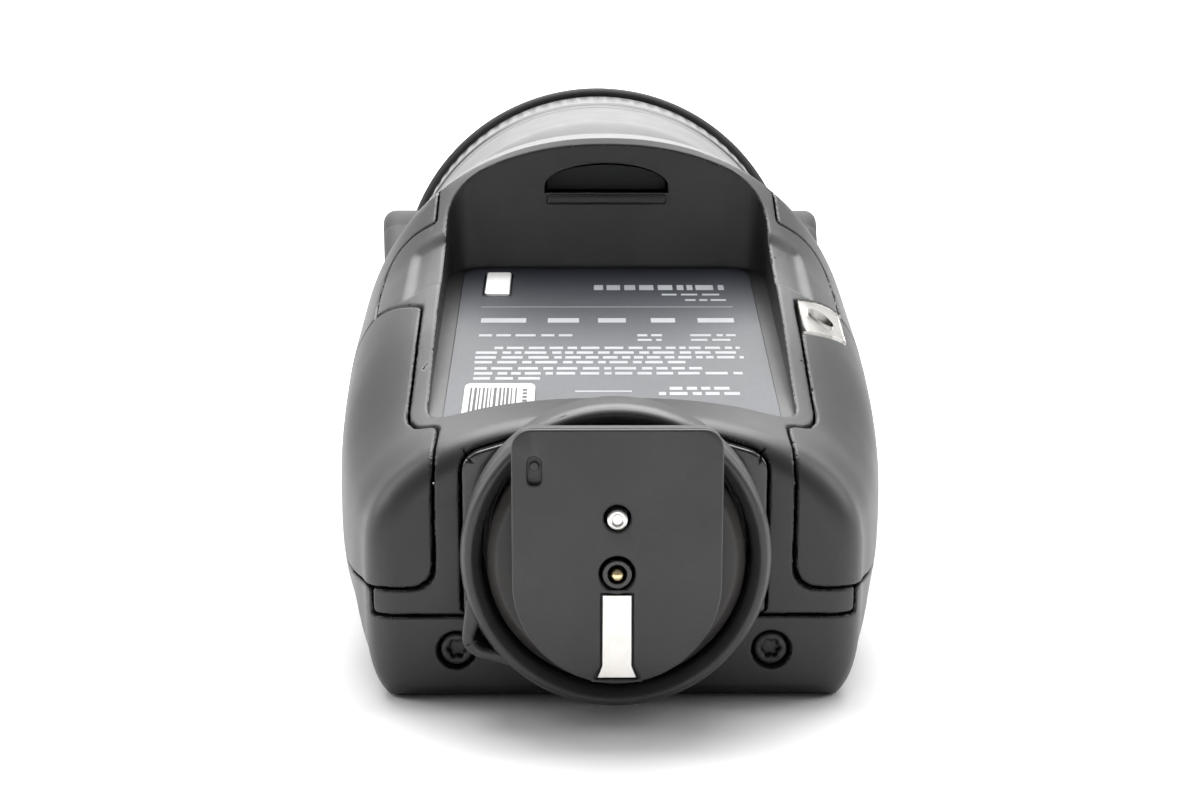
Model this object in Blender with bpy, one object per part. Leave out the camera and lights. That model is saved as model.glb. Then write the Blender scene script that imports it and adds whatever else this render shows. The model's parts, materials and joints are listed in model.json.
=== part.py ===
"""A round-head camera flash without its battery, lying on its display side.

Lengths are millimetres and are scaled to metres as each mesh is made. The flash is
drawn in its own frame: x to the right, a along the body from the face of the shoe foot
to the head, n from the display side to the battery side. The empty "flash_frame" tilts
that frame so that the flat back and the head's rim rest on z = 0. Controls on the back
are drawn in the resting frame, where their depth is simply their height.
"""

import math

import bmesh
import bpy
from mathutils import Vector

MM = 0.001
GAP = 0.3
HALF_GAP = GAP / 2
WALL = 2.0

# Body: half width, height of the widest line, crown, and how square the section is.
BODY_START, BODY_END = 12.0, 86.0
HALF_WIDTH = (
    (12, 23.9), (15, 24.4), (20, 26.1), (27, 28.0), (36, 29.5), (46, 30.4), (57, 31.2), (70, 31.6),
)
WIDEST_AT = ((12, -3.5), (27, -2.8), (50, 1.4), (70, 3.1))
CROWN = ((12, 10.2), (22, 10.4), (40, 18.0), (56, 26.0), (66, 34.6))
UPPER_POWER = ((12, 2.2), (40, 2.7), (66, 2.2))
LOWER_POWER = ((12, 6.3), (25, 3.0), (40, 3.6), (70, 2.9))
STATIONS = (12, 12.6, 15, 19, 23, 28, 34, 41, 48, 54, 59, 62, 64, 66, 72, 84.6, 86)
INNER_STATIONS = (14, 19, 23, 28, 34, 41, 48, 54, 59, 62, 64, 66, 72, 84)
SECTION_POINTS = 36
END_ROUND = 3.0

# Head, neck and tilt axis.
HEAD_N = 3.0
PIVOT_A = 127.5
RIM_RADIUS = 37.5
RIM_CONTACT_A = 173.6
BALL_RADIUS = 32.4
HEAD_TAPER = 0.081
FLAT_X = 29.2
FLAT_END_A = 146.4
TURRET_RADIUS = 28.0
ARM_INNER_X = 29.5
ARM_END_RADIUS = 18.0

# The back plane touches the body's lower edge and the head's rim.
BACK_N = -17.8
BACK_SLOPE = (HEAD_N - RIM_RADIUS - BACK_N) / (BODY_START - RIM_CONTACT_A)
TILT = math.atan(BACK_SLOPE)
LIFT = -(BODY_START * math.sin(TILT) + BACK_N * math.cos(TILT))

# Seams, measured up from the back plane's line (BACK_N at the body's start).
PARTING_M = -9.2
COVER_FOOT_M = -6.5
COVER_CORNER = 2.6
STRIP_HALF = 23.5

# Battery bay.
BAY_NEAR_A, BAY_FAR_A = 21.8, 65.0
BAY_NEAR_HALF, BAY_FAR_HALF = 18.9, 19.6
FLOOR_FAR_N, FLOOR_SLOPE = 18.6, 0.279

# Shoe.
FOOT_HALF = 9.3
FOOT_TOP, FOOT_BOTTOM = 11.7, -11.6
FOOT_THICK = 2.0
CONTACT_N = -1.35
LOCK_PIN_N = 3.7
DISC_RADIUS = 11.9
STUD_RADIUS = 6.0
RING_INNER, RING_OUTER = 12.35, 14.3
RING_FRONT, RING_BACK = 3.9, 9.5
# The lock ring's finger tab and the hole in it, as (radius, turn from the tab's middle).
TAB_ANGLE = math.radians(211)
TAB_EDGE = (
    (13.3, -0.34), (14.3, -0.26), (15.3, -0.13), (16.2, -0.04), (16.4, 0.02),
    (16.0, 0.09), (15.1, 0.16), (14.3, 0.26), (13.3, 0.34),
)
TAB_HOLE = ((13.35, -0.13), (15.2, -0.01), (15.0, 0.06), (13.35, 0.2))

STRIP_TOP = CONTACT_N - 1.95
STRIP_OUTLINE = [
    (1.3, STRIP_TOP), (1.3, -9.9), (1.75, -11.0), (-1.75, -11.0), (-1.3, -9.9), (-1.3, STRIP_TOP),
]

# Controls on the back, drawn in the resting frame, and the port.
DIAL_Y = 33.5
SWITCH_Y = 47.4
SWITCH_SLOT = 9.0
BUTTONS = (
    ("test_button", -18.2, 26.5),
    ("power_button", 18.2, 26.5),
    ("function_button_left", -18.2, 39.0),
    ("function_button_right", 18.2, 39.0),
)
SCREW_X, SCREW_N = 15.25, -12.7
PORT_A = 67.0
PORT_HINGE_X = -28.6

# Seams between the shells, as (x, a) points on the right side.
COVER_INNER_EDGE = [
    (17.3, 5), (17.3, 20), (19.7, 22), (21.0, 25), (21.1, 43.9), (27.2, 50.4), (31, 51.1), (40, 52.8),
]
NECK_SIDE = [
    (40, 52.8), (31, 51.1), (27.2, 50.4), (27.4, 56), (26.9, 60.4), (25.9, 61.9), (24.2, 62.0), (20.9, 60.8),
    (20.9, 67.3),
]
SOCKET_OUTLINE = [(21.2, 38.8), (24.1, 41.0), (26.9, 43.8), (26.9, 50.4), (22.8, 46.6), (21.2, 45.2)]
SOCKET_BORE = (23.8, 44.1)
# The gloss panel behind the lock ring, as (x, n) points.
PANEL_OUTLINE = [
    (-14.6, -8.9), (14.6, -8.9), (14.6, 6.2), (13.4, 7.2), (9.4, 8.4),
    (-9.4, 8.4), (-13.4, 7.2), (-14.6, 6.2),
]

# The origin is on the resting plane, under the middle of the whole length.
RIM_FRONT_A, RIM_LIP_RADIUS = 178.0, 36.0
FAR_Y = RIM_FRONT_A * math.cos(TILT) - (HEAD_N - RIM_LIP_RADIUS) * math.sin(TILT)
NEAR_Y = -FOOT_TOP * math.sin(TILT)
MIDDLE_Y = (FAR_Y + NEAR_Y) / 2

ORIGINS = {}


# ---------------------------------------------------------------- meshes and objects


def clear_scene():
    for old in list(bpy.data.objects):
        bpy.data.objects.remove(old, do_unlink=True)


def material(name, colour, roughness, metallic=0.0):
    made = bpy.data.materials.new(name)
    made.use_nodes = True
    shader = made.node_tree.nodes["Principled BSDF"]
    shader.inputs["Base Color"].default_value = (*colour, 1.0)
    shader.inputs["Roughness"].default_value = roughness
    shader.inputs["Metallic"].default_value = metallic
    return made


def joint_empty(name, origin=(0, 0, 0), parent=None):
    """An empty on a joint's axis. Origins are given in the frame of the topmost parent."""
    made = bpy.data.objects.new(name, None)
    bpy.context.collection.objects.link(made)
    base = Vector((0, 0, 0))
    if parent:
        made.parent = parent
        base = ORIGINS[parent.name]
    made.location = (Vector(origin) - base) * MM
    ORIGINS[name] = Vector(origin)
    return made


def solid(name, mesh, finish, parent, origin=None):
    """Makes the object of a finished bmesh, with its own origin where one is given."""
    base = ORIGINS[parent.name]
    start = Vector(origin) if origin is not None else base
    flat = math.radians(0.3)
    bmesh.ops.dissolve_limit(mesh, angle_limit=flat, verts=mesh.verts, edges=mesh.edges)
    for vertex in mesh.verts:
        vertex.co = (vertex.co - start) * MM
    data = bpy.data.meshes.new(name)
    mesh.to_mesh(data)
    mesh.free()
    data.materials.append(finish)
    data.shade_smooth()
    data.set_sharp_from_angle(angle=math.radians(35))
    made = bpy.data.objects.new(name, data)
    made.parent = parent
    made.location = (start - base) * MM
    bpy.context.collection.objects.link(made)
    return made


def closed(mesh):
    bmesh.ops.recalc_face_normals(mesh, faces=mesh.faces)
    return mesh


def loft(loops):
    """A closed body through loops of equal count, with flat ends."""
    mesh = bmesh.new()
    rings = [[mesh.verts.new(point) for point in loop] for loop in loops]
    count = len(rings[0])
    for low, high in zip(rings, rings[1:]):
        for i in range(count):
            j = (i + 1) % count
            mesh.faces.new((low[i], low[j], high[j], high[i]))
    mesh.faces.new(reversed(rings[0]))
    mesh.faces.new(rings[-1])
    return closed(mesh)


def prism(outline, low, high):
    """An outline of (u, v) points, with both ends placed by functions of u and v."""
    return loft([[low(u, v) for u, v in outline], [high(u, v) for u, v in outline]])


def along_a(outline, start, end):
    """A prism of an outline in x and n."""
    return prism(outline, lambda x, n: (x, start, n), lambda x, n: (x, end, n))


def upright(outline, start, end):
    """A prism of an outline in x and y, for parts drawn in the resting frame."""
    return prism(outline, lambda x, y: (x, y, start), lambda x, y: (x, y, end))


def box(low, high):
    corners = ((low[0], low[1]), (high[0], low[1]), (high[0], high[1]), (low[0], high[1]))
    return upright(corners, low[2], high[2])


def rectangle(u0, v0, u1, v1):
    return ((u0, v0), (u1, v0), (u1, v1), (u0, v1))


def rounded(corners, steps=4):
    """Rounds each (u, v, radius) corner of a polygon with a quadratic arc."""
    outline = []
    for i, (u, v, radius) in enumerate(corners):
        here = Vector((u, v))
        before = Vector(corners[i - 1][:2]) - here
        after = Vector(corners[(i + 1) % len(corners)][:2]) - here
        if radius == 0:
            outline.append((u, v))
            continue
        start = here + before.normalized() * min(radius, before.length / 2)
        end = here + after.normalized() * min(radius, after.length / 2)
        for k in range(steps + 1):
            t = k / steps
            point = start * (1 - t) ** 2 + here * 2 * t * (1 - t) + end * t**2
            outline.append((point.x, point.y))
    return outline


def rounded_box(u0, v0, u1, v1, radius, steps=4):
    return rounded([(u, v, radius) for u, v in rectangle(u0, v0, u1, v1)], steps)


def offset(outline, distance):
    """The outline moved outwards by a distance, its corners mitred."""
    area = sum(p[0] * q[1] - q[0] * p[1] for p, q in zip(outline, [*outline[1:], outline[0]]))
    side = distance if area > 0 else -distance
    moved = []
    for i, point in enumerate(outline):
        before = (Vector(point) - Vector(outline[i - 1])).normalized()
        after = (Vector(outline[(i + 1) % len(outline)]) - Vector(point)).normalized()
        normal_before = Vector((before.y, -before.x))
        normal_after = Vector((after.y, -after.x))
        mitre = (normal_before + normal_after).normalized()
        reach = side / max(0.3, mitre.dot(normal_before))
        moved.append((point[0] + mitre.x * reach, point[1] + mitre.y * reach))
    return moved


def turned(profile, centre, axis="a", segments=32):
    """A solid of revolution. The profile holds (radius, height) points in order."""
    places = {
        "a": lambda r, h, t: (centre[0] + r * math.cos(t), h, centre[1] + r * math.sin(t)),
        "x": lambda r, h, t: (h, centre[0] + r * math.cos(t), centre[1] + r * math.sin(t)),
        "z": lambda r, h, t: (centre[0] + r * math.cos(t), centre[1] + r * math.sin(t), h),
    }
    place = places[axis]
    mesh = bmesh.new()
    rings = []
    for radius, height in profile:
        if radius < 1e-6:
            rings.append([mesh.verts.new(place(0, height, 0))] * segments)
        else:
            turns = [math.tau * k / segments for k in range(segments)]
            rings.append([mesh.verts.new(place(radius, height, t)) for t in turns])
    pairs = list(zip(rings, rings[1:]))
    if profile[0][0] > 1e-6 or profile[-1][0] > 1e-6:
        pairs.append((rings[-1], rings[0]))
    for low, high in pairs:
        for i in range(segments):
            j = (i + 1) % segments
            corners = []
            for corner in (low[i], low[j], high[j], high[i]):
                if corner not in corners:
                    corners.append(corner)
            if len(corners) > 2:
                mesh.faces.new(corners)
    return closed(mesh)


def temporary(mesh):
    data = bpy.data.meshes.new("temporary")
    mesh.to_mesh(data)
    mesh.free()
    made = bpy.data.objects.new("temporary", data)
    bpy.context.collection.objects.link(made)
    return made


def combine(base, tool, operation):
    """The Boolean of two closed bodies, as a new bmesh. Both are used up.

    The exact solver drops some of the shell's cuts, so the manifold one is used.
    """
    target, other = temporary(base), temporary(tool)
    step = target.modifiers.new("combine", "BOOLEAN")
    step.operation = operation
    step.solver = "MANIFOLD"
    step.object = other
    bpy.context.view_layer.update()
    evaluated = target.evaluated_get(bpy.context.evaluated_depsgraph_get())
    result = bmesh.new()
    result.from_mesh(evaluated.to_mesh())
    evaluated.to_mesh_clear()
    for used in (target, other):
        data = used.data
        bpy.data.objects.remove(used, do_unlink=True)
        bpy.data.meshes.remove(data)
    bmesh.ops.remove_doubles(result, verts=result.verts, dist=0.0004)
    bmesh.ops.dissolve_degenerate(result, edges=result.edges, dist=0.0004)
    return result


def cut(base, *tools):
    for tool in tools:
        base = combine(base, tool, "DIFFERENCE")
    return base


def keep(base, tool):
    return combine(base, tool, "INTERSECT")


def join(base, *tools):
    for tool in tools:
        base = combine(base, tool, "UNION")
    return base


# ---------------------------------------------------------------- body


def eased(stations, a):
    """A monotone cubic through (a, value) stations, flat beyond both ends."""
    if a <= stations[0][0]:
        return stations[0][1]
    if a >= stations[-1][0]:
        return stations[-1][1]
    steps = [(q[1] - p[1]) / (q[0] - p[0]) for p, q in zip(stations, stations[1:])]
    slopes = [steps[0]]
    for before, after in zip(steps, steps[1:]):
        slopes.append(0 if before * after <= 0 else 2 * before * after / (before + after))
    slopes.append(steps[-1])
    i = max(k for k in range(len(steps)) if stations[k][0] <= a)
    (a0, v0), (a1, v1) = stations[i], stations[i + 1]
    width = a1 - a0
    t = (a - a0) / width
    rise = v0 * (1 + 2 * t) * (1 - t) ** 2 + v1 * t * t * (3 - 2 * t)
    return rise + width * (slopes[i] * t * (1 - t) ** 2 - slopes[i + 1] * t * t * (1 - t))


def back_line(a):
    """The height of the flat back at a."""
    return BACK_N - BACK_SLOPE * (a - BODY_START)


def from_back(m, a):
    """A height m above the seam datum, following the back's slope."""
    return back_line(a) - BACK_N + m


def section(a, inset):
    """One cross-section: a superellipse with its own power above and below, cut by the flat back."""
    half = eased(HALF_WIDTH, a) - inset
    middle = eased(WIDEST_AT, a)
    crown = eased(CROWN, a) - inset
    flat = back_line(a) + inset
    upper, lower = eased(UPPER_POWER, a), eased(LOWER_POWER, a)
    depth = middle - flat + 2.5
    short = max(0.0, BODY_START + END_ROUND - a) if not inset else 0.0
    trim = END_ROUND - math.sqrt(END_ROUND**2 - short**2)
    trim += max(0.0, a - BODY_END + 1.4) * 0.8 if not inset else 0.0
    half, crown, flat = half - trim, crown - trim * 0.8, flat + trim * 0.5
    points = []
    for i in range(SECTION_POINTS):
        turn = math.tau * (i + 0.5) / SECTION_POINTS
        c, s = math.cos(turn), math.sin(turn)
        power, height = (upper, crown - middle) if s > 0 else (lower, depth - trim * 0.5)
        x = half * math.copysign(abs(c) ** (2 / power), c)
        n = middle + height * math.copysign(abs(s) ** (2 / power), s)
        points.append((x, a, max(n, flat)))
    return points


def body_solid():
    return loft([section(a, 0.0) for a in STATIONS])


def body_hollow():
    return loft([section(a, WALL) for a in INNER_STATIONS])


def body_shell():
    return cut(body_solid(), body_hollow())


def below_seam(margin):
    """Everything on the display side of the parting line, which steps up at the sides."""
    low, step, side = PARTING_M + margin, COVER_FOOT_M + margin, STRIP_HALF - margin
    outline = (
        (-50, -40), (50, -40), (50, step), (side, step),
        (side, low), (-side, low), (-side, step), (-50, step),
    )
    return prism(outline, lambda x, m: (x, 0, from_back(m, 0)), lambda x, m: (x, 100, from_back(m, 100)))


def column(outline, bottom=-60, top=80):
    """A prism of an outline in x and a, standing along n."""
    return prism(outline, lambda x, a: (x, a, bottom), lambda x, a: (x, a, top))


def mirrored(outline):
    return [(-x, a) for x, a in reversed(outline)]


def neck_outline():
    return [*NECK_SIDE, *mirrored(NECK_SIDE), (-40, 95), (40, 95)]


def cover_space(sign, margin):
    """The room of one side cover: outside its inner edge, and above its foot."""
    outline = [(40, 5), *reversed(COVER_INNER_EDGE)]
    inner, foot = COVER_INNER_EDGE[0][0] - margin, COVER_FOOT_M - margin
    front = [(60, foot, 0), (60, 60, 0), (inner, 60, 0), (inner, foot, COVER_CORNER)]
    if sign < 0:
        outline = mirrored(outline)
        front = [(-x, m, radius) for x, m, radius in reversed(front)]
    above = prism(rounded(front), lambda x, m: (x, 0, from_back(m, 0)), lambda x, m: (x, 100, from_back(m, 100)))
    return keep(column(offset(outline, margin)), above)


def bay_outline(margin=0.0):
    corners = [
        (-BAY_NEAR_HALF, BAY_NEAR_A, 4.5), (BAY_NEAR_HALF, BAY_NEAR_A, 4.5),
        (BAY_FAR_HALF, BAY_FAR_A, 5.0), (-BAY_FAR_HALF, BAY_FAR_A, 5.0),
    ]
    return offset(rounded(corners), margin) if margin else rounded(corners)


def floor_n(a):
    return FLOOR_FAR_N - FLOOR_SLOPE * (BAY_FAR_A - a)


def on_floor(outline, low, high):
    """A prism that follows the bay's sloping floor, between two heights above it."""
    return prism(
        outline,
        lambda x, a: (x, a, floor_n(a) + low),
        lambda x, a: (x, a, high if high > 50 else floor_n(a) + high),
    )


def notch_outline(margin=0.0):
    """The latch opening: flat below, arched above."""
    half, low, rise = 7.7 + margin, 27.9 - margin, 3.7 + 2 * margin
    arch = [(half * math.cos(t), low + 0.8 + (rise - 0.8) * math.sin(t))
            for t in (math.pi * k / 10 for k in range(11))]
    return [(-half, low), (half, low), *arch]


def latch_block():
    """A ramp behind the opening, which the battery's tongue rides up."""
    back = 69.6
    return prism(
        notch_outline(-GAP),
        lambda x, n: (x, 67.4 - (n - 28.2) * 0.4, n),
        lambda x, n: (x, back, n),
    )


def build_body(frame, finishes):
    shell_black, soft_black = finishes["shell"], finishes["soft"]
    rear = keep(body_shell(), below_seam(-HALF_GAP))
    rear = cut(rear, *rear_openings())
    solid("rear_housing", rear, shell_black, frame)

    hollow_round_tub = cut(body_hollow(), on_floor(bay_outline(WALL), -WALL, 80))
    mid = cut(cut(body_solid(), hollow_round_tub), column(offset(neck_outline(), HALF_GAP)))
    mid = cut(
        mid,
        cover_space(1, HALF_GAP),
        cover_space(-1, HALF_GAP),
        column(offset(SOCKET_OUTLINE, HALF_GAP), bottom=8),
        below_seam(HALF_GAP),
        on_floor(bay_outline(), 0.0, 90),
        along_a(offset(PANEL_OUTLINE, HALF_GAP), 5, 16.5),
        along_a(notch_outline(), 63, 72),
    )
    solid("mid_frame", mid, shell_black, frame)

    for side, sign in (("right", 1), ("left", -1)):
        cover = keep(body_shell(), cover_space(sign, -HALF_GAP))
        if side == "right":
            cover = cut(cover, column(offset(SOCKET_OUTLINE, HALF_GAP), bottom=8))
        solid("side_cover_" + side, cover, soft_black, frame)

    neck = keep(body_shell(), column(offset(neck_outline(), -HALF_GAP)))
    hub_hole = turned(((0, 80), (11.4, 80), (11.4, 90), (0, 90)), (0, HEAD_N))
    solid("neck_shell", cut(neck, below_seam(HALF_GAP), hub_hole), shell_black, frame)

    socket = keep(body_solid(), column(offset(SOCKET_OUTLINE, -HALF_GAP), bottom=9.5))
    turns = [math.tau * k / 20 for k in range(20)]
    middle_x, middle_a = SOCKET_BORE
    bore = column(
        [(middle_x + 1.5 * math.cos(t) - 0.38 * math.sin(t), middle_a + 0.6 * math.cos(t) + 0.95 * math.sin(t))
         for t in turns],
        bottom=11,
    )
    solid("sync_socket", cut(socket, bore), finishes["nickel"], frame)

    solid("latch_catch", latch_block(), finishes["shell"], frame)


def rear_openings():
    """Cutters through the back and the shoe end of the rear housing, in the flash frame."""
    resting = [
        upright(rounded_box(-19.8, 50, 19.8, 80, 3), -3, 6),
        turned(((0, -3), (11.8, -3), (11.8, 6), (0, 6)), (0, DIAL_Y), "z", 32),
        upright(rounded_box(-SWITCH_SLOT / 2, SWITCH_Y - 1.3, SWITCH_SLOT / 2, SWITCH_Y + 1.3, 1.0), -3, 6),
    ]
    for _, x, y in BUTTONS:
        resting.append(upright(rounded_box(x - 2.8, y - 4.3, x + 2.8, y + 4.3, 2.6), -3, 6))
    for tool in resting:
        to_flash_frame(tool)
    screw_hole = ((0, 8), (1.9, 8), (1.9, 18), (0, 18))
    screws = [turned(screw_hole, (x, SCREW_N), "a", 14) for x in (-SCREW_X, SCREW_X)]
    port = box((-45, PORT_A - 5, from_back(-13.6, PORT_A)), (-24, PORT_A + 5.3, from_back(-8.6, PORT_A)))
    return [*resting, *screws, port]


def to_flash_frame(mesh):
    """Turns a mesh drawn in the resting frame back into the flash frame."""
    c, s = math.cos(TILT), math.sin(TILT)
    for vertex in mesh.verts:
        y, z = vertex.co.y, vertex.co.z - LIFT
        vertex.co.y = y * c + z * s
        vertex.co.z = z * c - y * s


# ---------------------------------------------------------------- controls on the back

def build_controls(resting, finishes):
    gloss, rubber = finishes["gloss"], finishes["rubber"]
    window = upright(rounded_box(-19.5, 50.3, 19.5, 79.7, 2.8), 0.5, 1.5)
    solid("display_window", window, finishes["glass"], resting)
    solid("display_panel", box((-19, 51, 2.3), (19, 79, 4.3)), gloss, resting)

    dial_axis = joint_empty("control_dial_axis", (0, DIAL_Y, 0), resting)
    dial = turned(
        ((5.8, 0.8), (6.6, 0.4), (10.7, 0.4), (11.4, 1.1), (11.4, 3.6), (5.8, 3.6)), (0, DIAL_Y), "z", 32
    )
    solid("control_dial", dial, gloss, dial_axis)
    push = turned(((0, 0.6), (4.9, 0.6), (5.4, 1.1), (5.4, 3.7), (0, 3.7)), (0, DIAL_Y), "z", 24)
    solid("set_button", push, rubber, resting, (0, DIAL_Y, 0.6))

    for name, x, y in BUTTONS:
        outline = rounded_box(x - 2.5, y - 4.0, x + 2.5, y + 4.0, 2.4)
        solid(name, upright(outline, 0.5, 3.7), rubber, resting, (x, y, 0.5))

    knob_outline = rounded_box(-3.4, SWITCH_Y - 1.0, 0.6, SWITCH_Y + 1.0, 0.7)
    solid("mode_switch", upright(knob_outline, 0.4, 3.4), gloss, resting, (-1.4, SWITCH_Y, 0.4))

    solid("button_board", box((-22, 20, 4.6), (22, 47.5, 6.0)), finishes["board"], resting)
    solid("main_board", box((-19.5, 24, 10.0), (19.5, 83, 11.6)), finishes["board"], resting)
    can = turned(((0, -18), (10.3, -18), (11, -17), (11, 17), (10.3, 18), (0, 18)), (60, 24.6), "x", 20)
    solid("flash_capacitor", can, finishes["sleeve"], resting)
    core = upright(rounded_box(-9, 31, 9, 45, 1.5), 12.0, 22.5)
    solid("charging_transformer", core, finishes["copper"], resting)


def build_port(frame, finishes):
    low, high = from_back(-13.3, PORT_A), from_back(-8.9, PORT_A)
    start, end = PORT_A - 4.2, PORT_A + 4.7
    skin = cut(body_solid(), loft([section(a, 1.3) for a in INNER_STATIONS]))
    flap = keep(skin, box((-45, start, low), (-24, end, high)))
    solid("port_cover", flap, finishes["rubber"], frame, (PORT_HINGE_X, end, (low + high) / 2))
    port = box((-22.6, PORT_A - 4.2, low + 0.7), (-16.2, PORT_A + 4.2, high - 0.7))
    mouth = box((-25.0, PORT_A - 3.6, low + 1.3), (-17.6, PORT_A + 3.6, high - 1.3))
    solid("usb_port", cut(port, mouth), finishes["nickel"], frame)


# ---------------------------------------------------------------- shoe


def foot_top_corners():
    """The two upper corners, rounded between the straight sides and the top."""
    points = []
    for side, start in ((1, 0), (-1, math.pi / 2)):
        centre = (side * (FOOT_HALF - 1.8), FOOT_TOP - 1.8)
        for k in range(5):
            turn = start + math.pi / 2 * k / 4
            points.append((centre[0] + 1.8 * math.cos(turn), centre[1] + 1.8 * math.sin(turn)))
    return points


def foot_plate_outline():
    round_n = FOOT_BOTTOM + FOOT_HALF
    lower = [(FOOT_HALF * math.cos(t), round_n + FOOT_HALF * math.sin(t))
             for t in (math.pi + math.pi * k / 18 for k in range(19))]
    return [*lower, *foot_top_corners()]


def pin_cutter(x, n, radius, start=-2, end=8):
    return turned(((0, start), (radius, start), (radius, end), (0, end)), (x, n), "a", 16)


def build_shoe(frame, finishes):
    plate = along_a(foot_plate_outline(), 0, FOOT_THICK)
    riser = along_a(rounded_box(-6.25, -8.5, 6.25, 8.8, 1.5), FOOT_THICK - 0.5, 3.9)
    slot = along_a(rounded_box(-7.9, 6.75, -6.65, 9.25, 0.6), -1, 1.4)
    groove = along_a(offset(STRIP_OUTLINE, GAP / 2), -1, 0.6)
    holes = (pin_cutter(0, CONTACT_N, 1.6), pin_cutter(0, LOCK_PIN_N, 1.2))
    plate = cut(join(plate, riser), *holes, slot, groove)
    solid("foot_plate", plate, finishes["foot"], frame)
    solid("ground_strip", along_a(STRIP_OUTLINE, 0.0, 0.3), finishes["nickel"], frame)

    sleeve = turned(((0.85, -0.15), (1.3, -0.15), (1.3, 3.6), (0.85, 3.6)), (0, CONTACT_N), "a", 14)
    solid("contact_insulator", sleeve, finishes["gloss"], frame)
    contact = turned(
        ((0, -0.7), (0.35, -0.6), (0.55, -0.3), (0.55, 3.9), (0, 3.9)), (0, CONTACT_N), "a", 12
    )
    solid("contact_pin", contact, finishes["gold"], frame, (0, -0.7, CONTACT_N))
    lock = turned(((0, -0.5), (0.7, -0.5), (0.92, -0.2), (0.92, 3.9), (0, 3.9)), (0, LOCK_PIN_N), "a", 12)
    solid("locking_pin", lock, finishes["nickel"], frame, (0, -0.5, LOCK_PIN_N))

    disc = turned(
        ((0, 4.2), (10.9, 4.2), (DISC_RADIUS, 5.0), (DISC_RADIUS, 9.8), (13.4, 9.8), (13.4, 10.9),
         (STUD_RADIUS, 10.9), (STUD_RADIUS, 15.5), (0, 15.5)),
        (0, CONTACT_N), "a", 36,
    )
    disc = cut(disc, pin_cutter(0, CONTACT_N, 1.6, 3, 8.5), pin_cutter(0, LOCK_PIN_N, 1.2, 3, 8.5))
    solid("shoe_base", disc, finishes["disc"], frame)

    panel = along_a(offset(PANEL_OUTLINE, -HALF_GAP), 11.2, 14.0)
    panel = cut(panel, pin_cutter(0, CONTACT_N, STUD_RADIUS + GAP, 5, 20))
    solid("base_panel", panel, finishes["gloss"], frame)

    ring_axis = joint_empty("lock_ring_axis", (0, RING_FRONT, CONTACT_N), frame)
    ring = turned(
        ((RING_INNER, RING_BACK), (RING_INNER, 5.0), (12.8, 4.3), (13.5, RING_FRONT), (14.0, 4.3),
         (RING_OUTER, 5.2), (RING_OUTER, RING_BACK)),
        (0, CONTACT_N), "a", 36,
    )
    tab_outline = [
        (radius * math.cos(TAB_ANGLE + swing), CONTACT_N + radius * math.sin(TAB_ANGLE + swing))
        for radius, swing in TAB_EDGE
    ]
    hole = [
        (radius * math.cos(TAB_ANGLE + swing), CONTACT_N + radius * math.sin(TAB_ANGLE + swing))
        for radius, swing in TAB_HOLE
    ]
    ring = cut(join(ring, along_a(tab_outline, 4.6, 9.2)), along_a(hole, 3, 11))
    solid("lock_ring", ring, finishes["satin"], ring_axis)

    for side, x in (("left", -SCREW_X), ("right", SCREW_X)):
        screw = turned(
            ((0, 12.3), (1.6, 12.3), (1.6, 13.9), (0.9, 14.1), (0.9, 16.8), (0, 16.8)),
            (x, SCREW_N), "a", 12,
        )
        solid("housing_screw_" + side, screw, finishes["screw"], frame)


# ---------------------------------------------------------------- bay fittings


def build_bay(frame, finishes):
    near, far = BAY_NEAR_A + 0.8, BAY_FAR_A - 1.6
    outline = rounded([(-17.3, near, 1.5), (17.3, near, 1.5), (17.6, far, 3.0), (-17.6, far, 3.0)])
    label = on_floor(outline, GAP, GAP + 0.25)
    pad_outline = rounded_box(-14.7, 55.0, -11.7, 61.6, 0.5)
    label = cut(label, on_floor(offset(pad_outline, 0.25), -1, 3))
    solid("rating_label", label, finishes["label"], frame)
    solid("contact_pad", on_floor(pad_outline, GAP, GAP + 0.5), finishes["nickel"], frame)
    sticker = on_floor(rounded_box(-15.9, near + 0.4, -9.2, 32.3, 0.8), GAP + 0.5, GAP + 0.7)
    solid("serial_sticker", sticker, finishes["paper"], frame)


# ---------------------------------------------------------------- turret and yoke


def arm_half_height(a):
    """A yoke arm widens from its foot into the round end about the pivot."""
    end = math.sqrt(max(0.0, ARM_END_RADIUS**2 - (a - PIVOT_A) ** 2))
    foot = 9.5 + (a - 91) * 0.26
    return end if a > 119 else min(foot, ARM_END_RADIUS)


def arm_outer_x(a):
    return min(31.2 + (a - 95) * 0.126, 36.0)


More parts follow.
